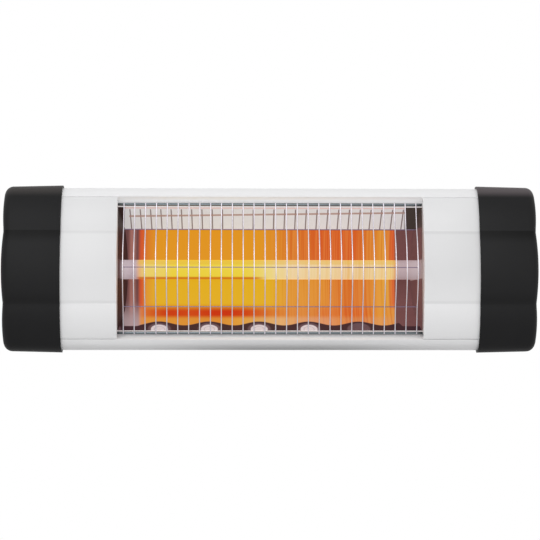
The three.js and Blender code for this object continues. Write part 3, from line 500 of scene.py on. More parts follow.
class Sheet:
    # an edge along X is drawn by lines and arcs from corner to corner: depth and height in millimetres
    def __init__(self, name, fromX, toX, depth, height):
        self.piece = fresh(bpy.ops.mesh.primitive_plane_add, name, size=1, location=(0, 0.5, 0))
        pick(self.piece, lambda co: co.y > 0.5)
        bpy.ops.mesh.delete(type="VERT")
        bpy.ops.mesh.select_all(action="SELECT")
        bpy.ops.transform.resize(value=((toX - fromX) * mm, 1, 1), center_override=(0, 0, 0))
        self.at = spot((fromX + toX) / 2, depth, height)
        bpy.ops.transform.translate(value=self.at)

    def corner(self, depth, height):
        return Vector((self.at.x, yAt(depth), height * mm))

    def line(self, depth, height):
        to = self.corner(depth, height)
        drawOut(to - self.at)
        self.at = to
        return self

    def arc(self, depth, height, radius, steps):  # swells to the left of its way
        to = self.corner(depth, height)
        chord = to - self.at
        half, size = chord.length / 2, radius * mm
        left = Vector((0, -chord.z, chord.y)).normalized()
        centre = (self.at + to) / 2 - left * math.sqrt(size ** 2 - half ** 2)
        bpy.ops.mesh.spin(steps=steps, angle=2 * math.asin(half / size), center=centre, axis=(1, 0, 0))
        self.at = to
        return self

    def lobes(self, sizes, end):  # up over the three lobes, from the corner that lies opposite the end
        depth, height = sizes["creaseDepth"], sizes["creaseHeight"]
        self.arc(depth, -height, sizes["outerRadius"], lobeSteps)
        self.arc(depth, height, sizes["middleRadius"], middleSteps)
        return self.arc(*end, sizes["outerRadius"], lobeSteps)

    def faced(self):  # merged, with its foremost face looking to the front
        done()
        outward(merged(self.piece))
        foremost = min(self.piece.data.polygons, key=lambda face: face.center.y)
        if foremost.normal.y > 0:
            self.piece.data.flip_normals()
        return self.piece


def drilled(piece, radius, places, reach=8):  # round holes along Y at X, depth and height
    pins = [cylinder("drill", radius, reach, 24, spot(*place), alongY) for place in places]
    return boolean(piece, joined(pins, "drills"), "DIFFERENCE")


def markCreases(piece, sizes):  # keeps the line between two lobes crisp
    height, reach = sizes["creaseHeight"] * mm, sizes["creaseReach"] * mm
    near = lambda co: abs(abs(co.z) - height) < reach and co.y < yAt(14)
    for line in piece.data.edges:
        a, b = (piece.data.vertices[i].co for i in line.vertices)
        line.use_edge_sharp = near(a) and near(b) and abs(a.z - b.z) < hair and abs(a.x - b.x) > 10 * hair


lobeSteps = 12  # faces across an outer lobe
middleSteps = 18
mirror = Matrix.Scale(-1, 4, (1, 0, 0))  # left and right change places


# casing: rails above and below the window, and a plate on each side of it

casing = {
    "creaseDepth": 8.27,  # between the middle lobe and an outer one
    "creaseHeight": 40.55,
    "middleRadius": 153,
    "outerRadius": 82.6,
    "shoulder": (22.24, 84.77),
    "cornerArc": (17.4, 10),  # radius and steps
    "topFront": (35.26, 91.5),
    "topRear": (41.21, 91.5),
    "rearCorner": (88.45, 62.71),
    "rear": (90.7, 60.57),
    "rearFlangeHeight": 46.58,
    "railCrease": (19.67, 80.3),  # where the rail turns in to the window
    "windowEdge": (31, 74.6),
    "windowFlangeHeight": 85.6,
    "plateEdge": (19.39, 79.8),
    "plateLip": (25.64, 76.65),
    "windowHalfLength": 171.3,
    "halfLength": 246,
    "plateReturn": 25,  # the depth that the edge beside the window is folded back to
    "railThickness": 1.6,
    "plateThickness": 1.2,
    "screwHeight": 52,
    "screwXs": (-240, -150, 0, 150, 240),
    "holeRadius": 2,
    "railEase": 0.35,  # how far sharp edges are eased
    "plateEase": 0.3,
    "creaseReach": 1.2,
    "bend": 24,  # degrees: a smaller bend is shaded smooth
}


def topRail():
    c = casing
    depth, height = c["windowEdge"]
    rear = c["rear"][0]
    sheet = Sheet("topRailSheet", -c["halfLength"], c["halfLength"], depth, c["windowFlangeHeight"])
    sheet.line(depth, height).line(*c["railCrease"])
    sheet.arc(*c["shoulder"], c["outerRadius"], 3).arc(*c["topFront"], *c["cornerArc"])
    sheet.line(*c["topRear"]).line(*c["rearCorner"]).line(*c["rear"]).line(rear, c["rearFlangeHeight"])
    rail = walled(sheet.faced(), c["railThickness"])
    rail = drilled(rail, c["holeRadius"], [(x, rear, c["screwHeight"]) for x in c["screwXs"]])
    return smooth(eased(rail, c["railEase"], 2, c["bend"]), c["bend"])


def frontPlate():  # the right one: the left one is its mirror image
    c = casing
    edge, lip = c["plateEdge"], c["plateLip"]
    sheet = Sheet("frontPlateSheet", c["windowHalfLength"], c["halfLength"], lip[0], -lip[1])
    plate = sheet.line(edge[0], -edge[1]).lobes(c, edge).line(*lip).faced()
    inner = c["windowHalfLength"] * mm
    limit = c["windowEdge"][1] * mm
    pick(plate, lambda co: co.x < inner + hair and abs(co.z) < limit)
    bpy.ops.mesh.extrude_edges_move(TRANSFORM_OT_translate={"value": (0, 0, 0)})
    bpy.ops.transform.resize(value=(1, 0, 1), center_override=(0, yAt(c["plateReturn"]), 0))
    done()
    plate = eased(walled(plate, c["plateThickness"]), c["plateEase"], 2, 40)
    markCreases(plate, c)
    return smooth(plate, c["bend"])


upperRail = topRail()
lowerRail = twin(upperRail, "bottomRailSheet", Matrix.Scale(-1, 4, (0, 0, 1)))
hand(upperRail, "white_enamel", "top_rail", look="upper")
hand(lowerRail, "white_enamel", "bottom_rail", look="lower")
rightPlate = frontPlate()
leftPlate = twin(rightPlate, "leftFrontPlateSheet", mirror)
hand(rightPlate, "white_enamel", "right_front_plate", look="plate")
hand(leftPlate, "white_enamel", "left_front_plate", look="plate")
print("casing made")


# end caps

cap = {
    "rimX": 234,
    "halfLength": 300,
    "creaseDepth": 5.5,
    "creaseHeight": 41,
    "middleRadius": 155.6,
    "outerRadius": 85.6,
    "shoulder": (20, 86.5),
    "cornerArc": (19.7, 7),
    "topFront": (35, 94.3),
    "topRear": (42, 94.3),
    "rearCorner": (90.11, 64.98),
    "rearArc": (10.2, 5),
    "rear": (95, 56.27),
    "draft": 1.3,
    "endRadius": 8.5,
    "endSteps": 7,
    "endCreaseHeight": 39.4,  # where the end face's creases run
    "endSlices": 5,  # from the middle to a crease, and from a crease on
    "endLobeStep": 8,
    "lobeSwell": 1.9,
    "outerSwell": 0.6,  # an outer lobe's swell as a share of the middle one's
    "wall": 2.5,
    "ease": 0.35,
    "creaseReach": 1.8,
    "screwX": 240,
    "glandX": 270,
    "glandHeight": -30,
    "glandRadius": 8.3,
}


def endSwell(height):  # the three lobes swell the end face too
    c = cap
    crease, away = c["creaseHeight"], abs(height)
    if away <= crease:
        return c["lobeSwell"] * (1 - (away / crease) ** 2)
    half = (c["topFront"][1] - crease) / 2
    return c["lobeSwell"] * c["outerSwell"] * (1 - min(1, ((away - crease - half) / half) ** 2))


def capOutline():  # a thin ribbon, of which the edge at the rim becomes one face
    c = cap
    rear, corner, top, shoulder = c["rear"], c["rearCorner"], c["topFront"], c["shoulder"]
    sheet = Sheet("rightEndCapShell", c["rimX"] - 1, c["rimX"], rear[0], 0)
    sheet.line(rear[0], -rear[1]).arc(corner[0], -corner[1], *c["rearArc"])
    sheet.line(c["topRear"][0], -c["topRear"][1]).line(top[0], -top[1])
    sheet.arc(shoulder[0], -shoulder[1], *c["cornerArc"])
    sheet.lobes(c, shoulder).arc(*top, *c["cornerArc"])
    sheet.line(*c["topRear"]).line(*corner).arc(*rear, *c["rearArc"]).line(rear[0], 0)
    done()
    shell = merged(sheet.piece)
    pick(shell, lambda co: co.x < c["rimX"] * mm - hair)
    bpy.ops.mesh.delete(type="VERT")
    bpy.ops.mesh.select_all(action="SELECT")
    bpy.ops.mesh.edge_face_add()
    done()
    if shell.data.polygons[0].normal.x < 0:
        shell.data.flip_normals()
    return shell


def pushedOut(shell, roundFrom):  # the draft and the rounding are insets that also move out
    c = cap
    edit(shell)
    drawOut((0, 0, 0))
    inset(c["draft"], roundFrom - c["rimX"])
    inward = outward = 0
    for step in range(1, c["endSteps"] + 1):
        angle = math.pi / 2 * step / c["endSteps"]
        nextIn, nextOut = c["endRadius"] * (1 - math.cos(angle)), c["endRadius"] * math.sin(angle)
        inset(nextIn - inward, nextOut - outward)
        inward, outward = nextIn, nextOut
    done()


def endCap():  # the right one, without its holes
    c = cap
    shell = capOutline()
    roundFrom = c["halfLength"] - c["lobeSwell"] - c["endRadius"]
    pushedOut(shell, roundFrom)
    end = (roundFrom + c["endRadius"]) * mm
    crease, count = c["endCreaseHeight"], c["endSlices"]
    heights = [crease * i / count for i in range(-count, count + 1)]
    heights += [way * (crease + c["endLobeStep"] * i) for way in (-1, 1) for i in range(1, count + 1)]
    for height in heights:
        pick(shell, lambda co: co.x > end - hair)
        bpy.ops.mesh.bisect(plane_co=(0, 0, height * mm), plane_no=(0, 0, 1))
        done()
    pick(shell, lambda co: co.x < c["rimX"] * mm + hair)
    bpy.ops.mesh.delete(type="ONLY_FACE")
    done()
    for vertex in shell.data.vertices:
        share = (vertex.co.x / mm - roundFrom) / c["endRadius"]
        if share > 0:
            vertex.co.x += endSwell(vertex.co.z / mm) * min(1, share) * mm
    return walled(shell, c["wall"])


def finishedCap(shell, side):
    c = cap
    places = [(side * c["screwX"], c["rear"][0], up * casing["screwHeight"]) for up in (-1, 1)]
    shell = drilled(shell, casing["holeRadius"], places)
    if side > 0:
        shell = drilled(shell, c["glandRadius"], [(c["glandX"], c["rear"][0], c["glandHeight"])])
    shell = eased(shell, c["ease"], 2, 50)
    markCreases(shell, c)
    return smooth(shell, 26)


rightShell = endCap()
leftShell = twin(rightShell, "leftEndCapShell", mirror)
hand(finishedCap(rightShell, 1), "end_cap_plastic", "right_end_cap")
hand(finishedCap(leftShell, -1), "end_cap_plastic", "left_end_cap")
print("end caps made")


# reflector trough

trough = {
    "halfLength": 173,
    "thickness": 0.8,
    "mouth": (32.1, 69.8),
    "flangeHeight": 82.8,
    "fold": (62, 47.4),
    "backRadius": 87.2,
    "dishes": 5,
    "dishPitch": 57.5,
    "dishCentre": -12.5,
    "dishRadius": 9.2,
    "dishFromMouth": 10.2,  # up the lower wall, to a dish's centre
    "dishProfile": [(0, -2), (5, -1.95), (6.8, -1.6), (8, -1), (8.8, -0.4), (9.5, -0.06)],
}


def dishXs():
    t = trough
    return [t["dishCentre"] + (i - (t["dishes"] - 1) / 2) * t["dishPitch"] for i in range(t["dishes"])]


def lowerWallPlace(x):  # from a dish's own frame to its place on the lower wall
    t = trough
    mouth, fold = Vector(t["mouth"]), Vector(t["fold"])
    way = (fold - mouth).normalized()
    depth, height = mouth + way * t["dishFromMouth"]
    return Matrix.Translation(spot(x, depth, -height)) @ Matrix.Rotation(math.atan2(-way.y, way.x), 4, "X")


def pressedDish():
    profile = trough["dishProfile"]
    outer, level = profile[-1]
    dish = fresh(bpy.ops.mesh.primitive_circle_add, "dish", vertices=48, radius=outer * mm,
                 location=(0, 0, level * mm), fill_type="NGON")
    edit(dish)
    for radius, height in reversed(profile[1:-1]):
        inset(outer - radius, height - level)
        outer, level = radius, height
    done()
    return polished(dish)


def polished(sheet):  # the polished face takes the first look and the plain back the second
    painted(sheet, looks["reflector"], looks["reflectorBack"])
    return walled(sheet, trough["thickness"], material_offset=1)


def reflectorTrough():
    t = trough
    depth, height = t["mouth"]
    sheet = Sheet("reflectorTrough", -t["halfLength"], t["halfLength"], depth, t["flangeHeight"])
    sheet.line(depth, height).line(*t["fold"]).arc(t["fold"][0], -t["fold"][1], t["backRadius"], 24)
    sheet.line(depth, -height).line(depth, -t["flangeHeight"])
    body = polished(sheet.faced())
    plug = cylinder("plug", t["dishRadius"], 6, 48)
    dish = pressedDish()
    for tool, name, operation in ((plug, "plugs", "DIFFERENCE"), (dish, "dishes", "UNION")):
        tools = [twin(tool, "tool", lowerWallPlace(x)) for x in dishXs()]
        bpy.data.objects.remove(tool)
        body = boolean(body, joined(tools, name), operation)
    return smooth(body, 30)


# what the lamp lights: the trough, the cheeks, the tube and the coil

def heatSpan(look, x, table, row):  # a ramp over X from -reach to reach, with stops in millimetres
    reach = table["reach"]
    share = x * (0.5 / (reach * mm)) + 0.5
    return look.ramp(share, [((at + reach) / (2 * reach), shade(*colour)) for at, colour in table[row]])


def blotched(look, coat, x, value, blotch):  # some of a colour, by another value and by X
    band, span, share, colour = blotch
    return look.mix(look.rise(value, *band) * look.rise(x, *span) * share, coat, colour)


amber = (222, 146, 28)
gold = (224, 172, 28)
peach = (220, 146, 46)
ember = (214, 118, 38)
blaze = (210, 88, 28)
fringe = (208, 84, 40)  # where the glow ends

troughLook = {
    "mouthDepth": 76,  # from here to the mouth the glow grows a little narrower
    "narrowing": 0.55,
    # the glow's colours along X: the back's upper and lower half, the lower wall and its foot
    "reach": 175,
    "upper": [(-147, fringe), (-142, ember), (-130, amber), (-10, amber), (28, ember), (58, blaze),
              (98, blaze), (114, ember), (132, peach), (142, fringe)],
    "lower": [(-147, fringe), (-142, peach), (-130, gold), (0, gold), (24, peach), (60, (218, 136, 40)),
              (76, ember), (94, (212, 106, 32)), (112, ember), (126, peach), (136, (221, 160, 56)),
              (142, fringe)],
    "wall": [(-149, (212, 124, 72)), (-141, (210, 100, 34)), (-122, (200, 62, 12)), (-112, (199, 56, 12)),
             (-90, (203, 68, 14)), (-65, (198, 48, 6)), (-46, (198, 46, 7)), (-26, (204, 66, 14)),
             (-8, (208, 98, 34)), (4, ember), (31, (214, 128, 54)), (50, (212, 122, 50)),
             (62, (213, 108, 44)), (80, (210, 98, 34)), (107, blaze), (118, ember), (130, peach),
             (142, (216, 136, 56))],
    "foot": [(-150, (214, 138, 80)), (-141, (218, 142, 56)), (-112, (216, 142, 50)), (-60, (214, 134, 50)),
             (-36, (220, 154, 58)), (-10, (218, 160, 88)), (12, (222, 170, 112)), (24, (219, 158, 100)),
             (40, (216, 148, 104)), (69, (214, 140, 100)), (80, (214, 128, 72)), (107, (206, 118, 70)),
             (126, (217, 144, 80)), (142, (214, 140, 72))],
    # the heights over which one of these gives way to the next
    "halves": (-14, 14),
    "wallStart": (-36.5, -47),
    "footStart": (-50.5, -56.5),
    "lit": ((-0.1525, -0.1475), (0.1468, 0.1434)),
    # paler and darker streaks painted in the glow: by the grain, from where on along X, how much and of what
    # colour
    "streak": ((0.4, 0.62), (-0.02, 0.04), 0.22, shade(238, 168, 84)),
    "burn": ((0.5, 0.3), (-0.01, 0.03), 0.35, shade(200, 76, 22)),
    # painted reflections: a dark wave over the dishes, and a pale oval with a line and a ring in the hollow
    # of each
    "waveEnds": (0.154, 0.148),
    "wave": (-64.4, 3.2, 2.3),  # height at the ends, rise between them, swing
    "ovalHeight": -68.2,
    "ovalRadii": (9.8, 5.6),
    "ovalLine": 0.6,
    "oval": shade(208, 198, 202),
    "line": shade(150, 136, 142),
    "ring": shade(96, 74, 80),
    "shadow": shade(58, 36, 42),
    # the upper wall, which is pale and carries the guard's painted reflection, with its far right end in
    # painted shade
    "paleBand": (47.2, 48.0),
    "pale": shade(218, 217, 219),
    "bar": shade(112, 92, 94),
    "bars": (84.1, 4.3, 14.14),  # to a metre, how many fewer on the right, count at the middle
    "barsMeet": 0.0009,  # they draw together at their feet
    "cross": shade(168, 134, 124),
    "crossLine": (62.6, 12),  # height and slope
    "blush": shade(226, 168, 158),
    "blushHeight": 68.9,
    "shadedFarEnd": shade(66, 58, 54),
    "foldHeight": 47.3,
    "fold": shade(84, 60, 92),
    # the ends that the coil doesn't reach, with a painted sheen and paler painted light at the left foot
    "unlit": shade(112, 74, 74),
    "sheenAt": -0.158,
    "sheen": shade(178, 122, 112),
    "leftFoot": ((-32, -59), (-0.14, -0.15), 0.85, shade(176, 156, 160)),
    # the left end lies in the shade of the front plate
    "shaded": (-0.1676, -0.1684),
    "shadedEnd": shade(52, 33, 33),
    "shadedWall": shade(52, 36, 35),
    "flange": shade(238, 232, 232),
    "burnt": shade(12, 6, 4),  # the coat under the glow
}


def paintedTroughGlow(look, x, up):
    # the lamp's glow on the trough, painted as its reflection
    t = troughLook
    upper, lower, wall, foot = (heatSpan(look, x, t, row) for row in ("upper", "lower", "wall", "foot"))
    back = look.mix(look.rise(up, *t["halves"]), lower, upper)
    wall = look.mix(look.rise(up, *t["footStart"]), wall, foot)
    heat = look.mix(look.rise(up, *t["wallStart"]), back, wall)
    grain = look.noise(1.0, 3, (420, 0, 6))  # streaks that run up and down the trough
    heat = blotched(look, heat, x, grain, t["streak"])
    return blotched(look, heat, x, grain, t["burn"])


def dishShadow(look, x, up):  # where it is dark, and the shades there
    # the dark wave is where the lamp's painted reflection stops, and the pale ovals are painted reflections
    # in the dishes
    t = troughLook
    pitch = trough["dishPitch"]
    phase = (x * 1000 - trough["dishCentre"]) / pitch
    among = look.rise(abs(x), *t["waveEnds"])
    low, lift, swing = t["wave"]
    wave = (phase * (2 * math.pi)).math("COSINE") * among * swing + among * lift + low
    dark = look.rise(up - wave, 0.45, -0.45)
    aside = ((phase + 0.5).math("FRACT") - 0.5) * pitch
    wide, high = t["ovalRadii"]
    oval = ((aside / wide) ** 2 + ((up - t["ovalHeight"]) / high) ** 2).math("SQRT")
    line = look.rise((oval - t["ovalLine"]) ** 2, 0.004, 0.001)
    white = look.rise(oval, 1.06, 0.94) * look.rise(x, 0.085, 0.07)
    ring = look.rise(oval, 1.5, 1.2) * look.rise(x, 0.135, 0.13)
    shadow = look.mix(ring, t["shadow"], t["ring"])
    return dark, look.mix(white, shadow, look.mix(line * 0.5, t["oval"], t["line"]))


def upperWall(look, x, up):
    t = troughLook
    aim = x * ((67 - up) * t["barsMeet"] + 1)
    pace, fewer, first = t["bars"]
    count = aim * pace - aim.math("MAXIMUM", 0) * fewer + first
    bars = look.near(count.math("FRACT"), 0.5, 0.075, 0.035) * look.rise(up, 68.2, 67)
    height, slope = t["crossLine"]
    cross = look.near(up - x * slope, height, 1.2, 0.5) * look.rise(x, -0.1632, -0.1622)
    wall = look.mix(bars * 0.92, t["pale"], t["bar"])
    wall = look.mix(cross * 0.9, wall, t["cross"])
    wall = look.mix(look.near(up, t["blushHeight"], 0.8, 0.3) * 0.6, wall, t["blush"])
    # the far right end in painted shade
    return look.mix(look.rise(x, 0.155, 0.158), wall, t["shadedFarEnd"])


def litTrough():
    t = troughLook
    # the polished face's colours are painted light: the lamp's glow and every reflection are emission, and
    # half of each other colour is emission too
    look = Look("litReflector", Roughness=0.5, Specular_IOR_Level=0.15, Emission_Strength=1.0)
    x, y, z = look.axes()
    x = x * ((yAt(t["mouthDepth"]) - y) * t["narrowing"] + 1)
    up = z * 1000
    dark, shadow = dishShadow(look, x, up)
    shaded = look.rise(x, *t["shaded"])
    plain = look.mix(look.near(x, t["sheenAt"], 0.006, 0.001) * 0.8, t["unlit"], t["sheen"])
    plain = look.mix(shaded, blotched(look, plain, x, up, t["leftFoot"]), t["shadedEnd"])
    wall = look.mix(shaded, upperWall(look, x, up), t["shadedWall"])
    pale = look.rise(up, *t["paleBand"])
    fold = look.near(up, t["foldHeight"], 0.8, 0.4) * 0.7
    surface = look.mix(pale, look.mix(dark, plain, shadow), wall)
    surface = look.mix(look.rise(abs(up), 69.6, 70), look.mix(fold, surface, t["fold"]), t["flange"])
    glow = look.between(x, *t["lit"]) * (1 - pale) * (1 - dark) * (1 - fold)
    look.feed(Base_Color=look.mix(glow * 0.7 + 0.28, surface, t["burnt"]),
              Emission_Color=look.mix(glow, look.mix(0.5, black, surface), paintedTroughGlow(look, x, up)))
    look.bump(260, 0.05, 0.0004)
    return look


looks["reflector"] = litTrough()
looks["reflectorBack"] = plainMetal("reflectorBack", (206, 204, 202), 0.3, (1, 30, 30))
hand(reflectorTrough(), "polished_reflector", "reflector")
print("reflector made")


# wire guard

guard = {
    "wires": 28,
    "pitch": 12.2,
    "wireRadius": 0.66,
    "crossRadius": 0.5,
    "rodRadius": 1.75,
    "belly": (20, 43.4),  # where an upright's arc starts and ends
    "bellyRadius": 81.6,
    "end": (27.05, 73.5),
    "rod": (29.25, 72.55),
    "rodHalfLength": 177,
    "crosses": [(20, 43.4), (7.5, 0), (20, -43.4)],
    "crossOverhang": 0.4,
    "weldSink": 0.35,
}


def roundBar(name, radius, halfLength, depth, height, sides):
    bar = cylinder(name, radius, 2 * halfLength, sides, spot(0, depth, height), alongX)
    return eased(bar, radius * 0.35, 2, 60)


def upright():
    # a ring is drawn straight from the lower rod, spun along the belly and drawn out to the upper rod
    g = guard
    foot, start = (spot(0, depth, -height) for depth, height in (g["end"], g["belly"]))
    sweep = 2 * math.asin(g["belly"][1] / g["bellyRadius"])
    centre = start + Matrix.Rotation(sweep / 2, 3, "X") @ Vector((0, g["bellyRadius"] * mm, 0))
    radius = g["wireRadius"] * mm
    wire = fresh(bpy.ops.mesh.primitive_circle_add, "upright", vertices=10, radius=radius, location=start,
                 rotation=(sweep / 2, 0, 0), fill_type="NGON")
    edit(wire)
    drawOut(foot - start)
    done()
    pick(wire, lambda co: co.z > start.z - 2 * radius)
    bpy.ops.mesh.spin(steps=14, angle=sweep, center=centre, axis=(1, 0, 0))
    drawOut((0, foot.y - start.y, start.z - foot.z))
    done()
    return outward(edited(merged(wire), bpy.ops.mesh.delete_loose))


def weldedGuard():
    g = guard
    first = upright()
    reach = (g["wires"] - 1) * g["pitch"] / 2
    painted(first, looks["wire"])
    parts = [twin(first, "upright", Matrix.Translation(((i * g["pitch"] - reach) * mm, 0, 0)))
             for i in range(g["wires"])]
    bpy.data.objects.remove(first)
    behind = g["wireRadius"] + g["crossRadius"] - g["weldSink"]
    for depth, height in g["crosses"]:
        bar = roundBar("cross", g["crossRadius"], reach + g["crossOverhang"], depth + behind, height, 10)
        parts.append(painted(bar, looks["shadedCrossWire"]))
    depth, height = g["rod"]
    for way in (-1, 1):
        rod = roundBar("edgeRod", g["rodRadius"], g["rodHalfLength"], depth, way * height, 16)
        parts.append(painted(rod, looks["rod"]))
    return smooth(joined(parts, "weldedGuard"), 40)


looks["wire"] = plainMetal("brightWire", (224, 219, 228), 0.3)
# a darker, purple copy of the wire: painted shade on the cross wires, which lie behind the uprights against
# the glow
looks["shadedCrossWire"] = plainMetal("shadedCrossWire", (136, 120, 142), 0.3)
looks["rod"] = plainMetal("rodSteel", (116, 124, 128), 0.34)
hand(weldedGuard(), "bright_wire", "wire_guard")
print("guard made")


# lamp: quartz tube with its coil, on the axis of the trough

lamp = {
    "depth": 47,
    "tubeRadius": 11,
    "tubeWall": 1.5,
    "tubeHalfLength": 206,
    "coilFrom": -152,
    "coilTo": 145,
    "coilTurns": 44,
    "coilRadius": 5.2,
    "coilWire": 0.75,
    "tailTo": 204.7,
}


def quartzTube():
    c = lamp
    tube = cylinder("quartzTubeGlass", c["tubeRadius"], 2 * c["tubeHalfLength"], 64,
                    spot(0, c["depth"], 0), alongX, end_fill_type="NOTHING")
    return smooth(eased(walled(tube, c["tubeWall"]), 0.4, 3, 50), 40)


def filament():
    # a ring of the wire is screwed along X, and each end is drawn to the axis and out to its terminal
    c = lamp
    pitch = (c["coilTo"] - c["coilFrom"]) / c["coilTurns"]
    coil = fresh(bpy.ops.mesh.primitive_circle_add, "filamentCoil", vertices=8,
                 radius=c["coilWire"] * mm, location=(0, c["coilRadius"] * mm, 0))
    modify(coil, "SCREW", axis="X", angle=2 * math.pi, screw_offset=pitch * mm,
           iterations=c["coilTurns"], steps=20, render_steps=20, use_merge_vertices=False)
    coil.data.transform(Matrix.Translation(spot(c["coilFrom"], c["depth"], 0)))
    onAxis = Vector((0, -c["coilRadius"], 0)) * mm
    for way, end in ((-1, c["coilFrom"]), (1, c["coilTo"])):
        tip = spot(end, c["depth"] + c["coilRadius"], 0)
        tail = (way * c["tailTo"] - end - way * pitch) * mm
        pick(coil, lambda co: (co - tip).length < 1.2 * c["coilWire"] * mm)
        drawOut(onAxis + Vector((way * pitch * mm, 0, 0)))
        drawOut((tail, 0, 0))
        bpy.ops.mesh.edge_face_add()
        done()
    return smooth(outward(coil), 60)


yellow, cream = (232, 205, 58), (232, 204, 150)

tubeLook = {
    "reach": 210,
    "glow": [(-149, (222, 168, 122)), (-141, (230, 204, 104)), (-122, (231, 205, 94)), (-110, yellow),
             (-30, yellow), (-17, (232, 206, 84)), (-2, (232, 210, 122)), (24, cream), (69, cream),
             (82, (230, 192, 138)), (102, (228, 190, 128)), (116, (232, 200, 140)), (128, (232, 202, 140)),
             (137, (232, 198, 112)), (143, (216, 150, 112))],
    "cold": [(-170, (104, 76, 74)), (-165, (216, 200, 206)), (-155, (200, 180, 188)), (155, (196, 174, 178)),
             (166, (208, 190, 194)), (171, (160, 140, 146))],
    "lit": ((-0.153, -0.147), (0.1462, 0.1412)),
    # the coil's turns show as blotches: by the grain, from where on along X, how much and of what colour
    "fineTurns": ((0.42, 0.6), (-0.02, 0.03), 0.55, shade(237, 210, 170)),
    "coarseTurns": ((0.5, 0.66), (0.02, 0.05), 0.4, shade(228, 172, 84)),
    "lowerEdge": ((-7.8, -9.8), (0.0, -0.02), 0.9, shade(196, 96, 16)),
    "upperBand": (4.4, 6),
    "upper": shade(226, 178, 62),
    "burnt": shade(30, 18, 8),  # the coat under the glow
}


def hotQuartz():
    t = tubeLook
    look = Look("hotQuartz", Roughness=0.3, Specular_IOR_Level=0.2, Emission_Strength=1.0)
    x, y, z = look.axes()
    up = z * 1000
    glow, cold = (heatSpan(look, x, t, row) for row in ("glow", "cold"))
    glow = blotched(look, glow, x, look.noise(1.0, 2, (330, 0, 0)), t["fineTurns"])
    glow = blotched(look, glow, x, look.noise(1.0, 1, (210, 0, 0)), t["coarseTurns"])
    glow = blotched(look, glow, x, up, t["lowerEdge"])
    glow = look.mix(look.rise(up, *t["upperBand"]) * 0.5, glow, t["upper"])
    lit = look.between(x, *t["lit"])
    cold = look.mix(0.5, black, cold)  # half of it is coat and half is glow
    look.feed(Base_Color=look.mix(lit, cold, t["burnt"]), Emission_Color=look.mix(lit, cold, glow))
    look.bump(400, 0.03, 0.0003)
    return look


def hotFilament():
    look = Look("hotFilament", Roughness=0.5, Emission_Strength=1.6)
    x, y, z = look.axes()
    lit = look.between(x, (-0.156, -0.148), (0.152, 0.144))
    grain = look.noise(900)
    glow = look.mix(grain, shade(255, 190, 90), shade(255, 226, 150))
    look.feed(Base_Color=look.mix(grain, shade(120, 104, 92), shade(150, 130, 112)),
              Emission_Color=look.mix(lit, black, glow))
    look.bump(900, 0.1, 0.0001)
    return look


looks["quartz_glass"] = hotQuartz()
looks["hot_filament"] = hotFilament()
hand(quartzTube(), "quartz_glass", "quartz_tube")
hand(filament(), "hot_filament", "heating_coil")
print("lamp made")


# cheeks at the trough's ends

cheekLook = {
    # heat stain in front of the lamp's back and above it, painted lit below and shaded above, and all in the
    # front plate's shade on the left; and the dull painted reflection of the tube
    "left": (shade(54, 34, 34), shade(54, 42, 40), shade(104, 76, 74)),
    "right": (shade(118, 82, 82), shade(78, 64, 60), shade(184, 164, 162)),
    "soot": shade(30, 22, 22),
    "edgeBand": (47.5, 49.5),
    "tubeBand": (0.0112, 0.0102),
    "ease": 0.15,
}


def stainedAndShadedCheek(name, lower, upper, reflected):
    c = cheekLook
    look = Look(name, Roughness=0.5, Specular_IOR_Level=0.2, Emission_Strength=1.0)
    x, y, z = look.axes()
    # where painted light below the fold gives way to painted shade above it
    edge = look.rise(z * 1000 + look.noise(30) * 3, *c["edgeBand"])
    grain = look.noise(60, 4, (1, 1, 4))
    stainAndShade = look.mix(grain * 0.25, look.mix(edge, lower, upper), c["soot"])
    stainAndShade = look.mix(look.rise(abs(z), *c["tubeBand"]) * 0.75, stainAndShade, reflected)
    # half of what shows is the heater's own glow on the plate
    look.feed(Base_Color=look.mix(0.4, stainAndShade, black), Emission_Color=look.mix(0.5, black, stainAndShade))
    look.bump(500, 0.08, 0.0003)
    return look


sides = ("left", "right")
for side in sides:
    node = side + "_reflector_cheek"
    looks[side] = stainedAndShadedCheek(side + "HeatStainAndShade", *cheekLook[side])
    hand(rounded(node, cheekLook["ease"]), "heat_stained_steel", node, look=side)
print("cheeks made")


# screws: a pan head with a cross recess, modelled once for each size

def numbered(*names, last=2):  # name_1, name_2 and so on
    return [f"{name}_{i}" for name in names for i in range(1, last + 1)]


screws = {
    "headHeight": 0.6,  # of the head's radius, and so are the next two
    "crossWidth": 0.3,
    "crossReach": 0.66,
    "crossDepth": 0.65,  # of the head's height
    "crossTaper": 0.55,
    "turn": 0.7,  # each is turned this much further than the one before it
    "sorts": {
        # head radius, shank radius, shank length and the nodes of that sort
        "capScrew": (4, 1.6, 10, numbered("left_cap_screw", "right_cap_screw")),
        "panelScrew": (3.3, 1.6, 7, numbered("panel_screw_top", "panel_screw_bottom", last=3)),
        "saddleScrew": (3.3, 1.5, 7, numbered("left_saddle_screw", "right_saddle_screw")),
        "clipScrew": (3.3, 1.5, 5, numbered("left_clip_screw", "right_clip_screw")),
        "blockScrew": (3.3, 1.5, 19, numbered("terminal_block_screw")),
        "earthScrew": (4, 1.5, 6, ["earth_screw"]),
    },
}


def bevelled(piece, test, width, segments):
    pick(piece, test)
    bpy.ops.mesh.bevel(offset=width * mm, segments=segments, affect="EDGES")
    done()


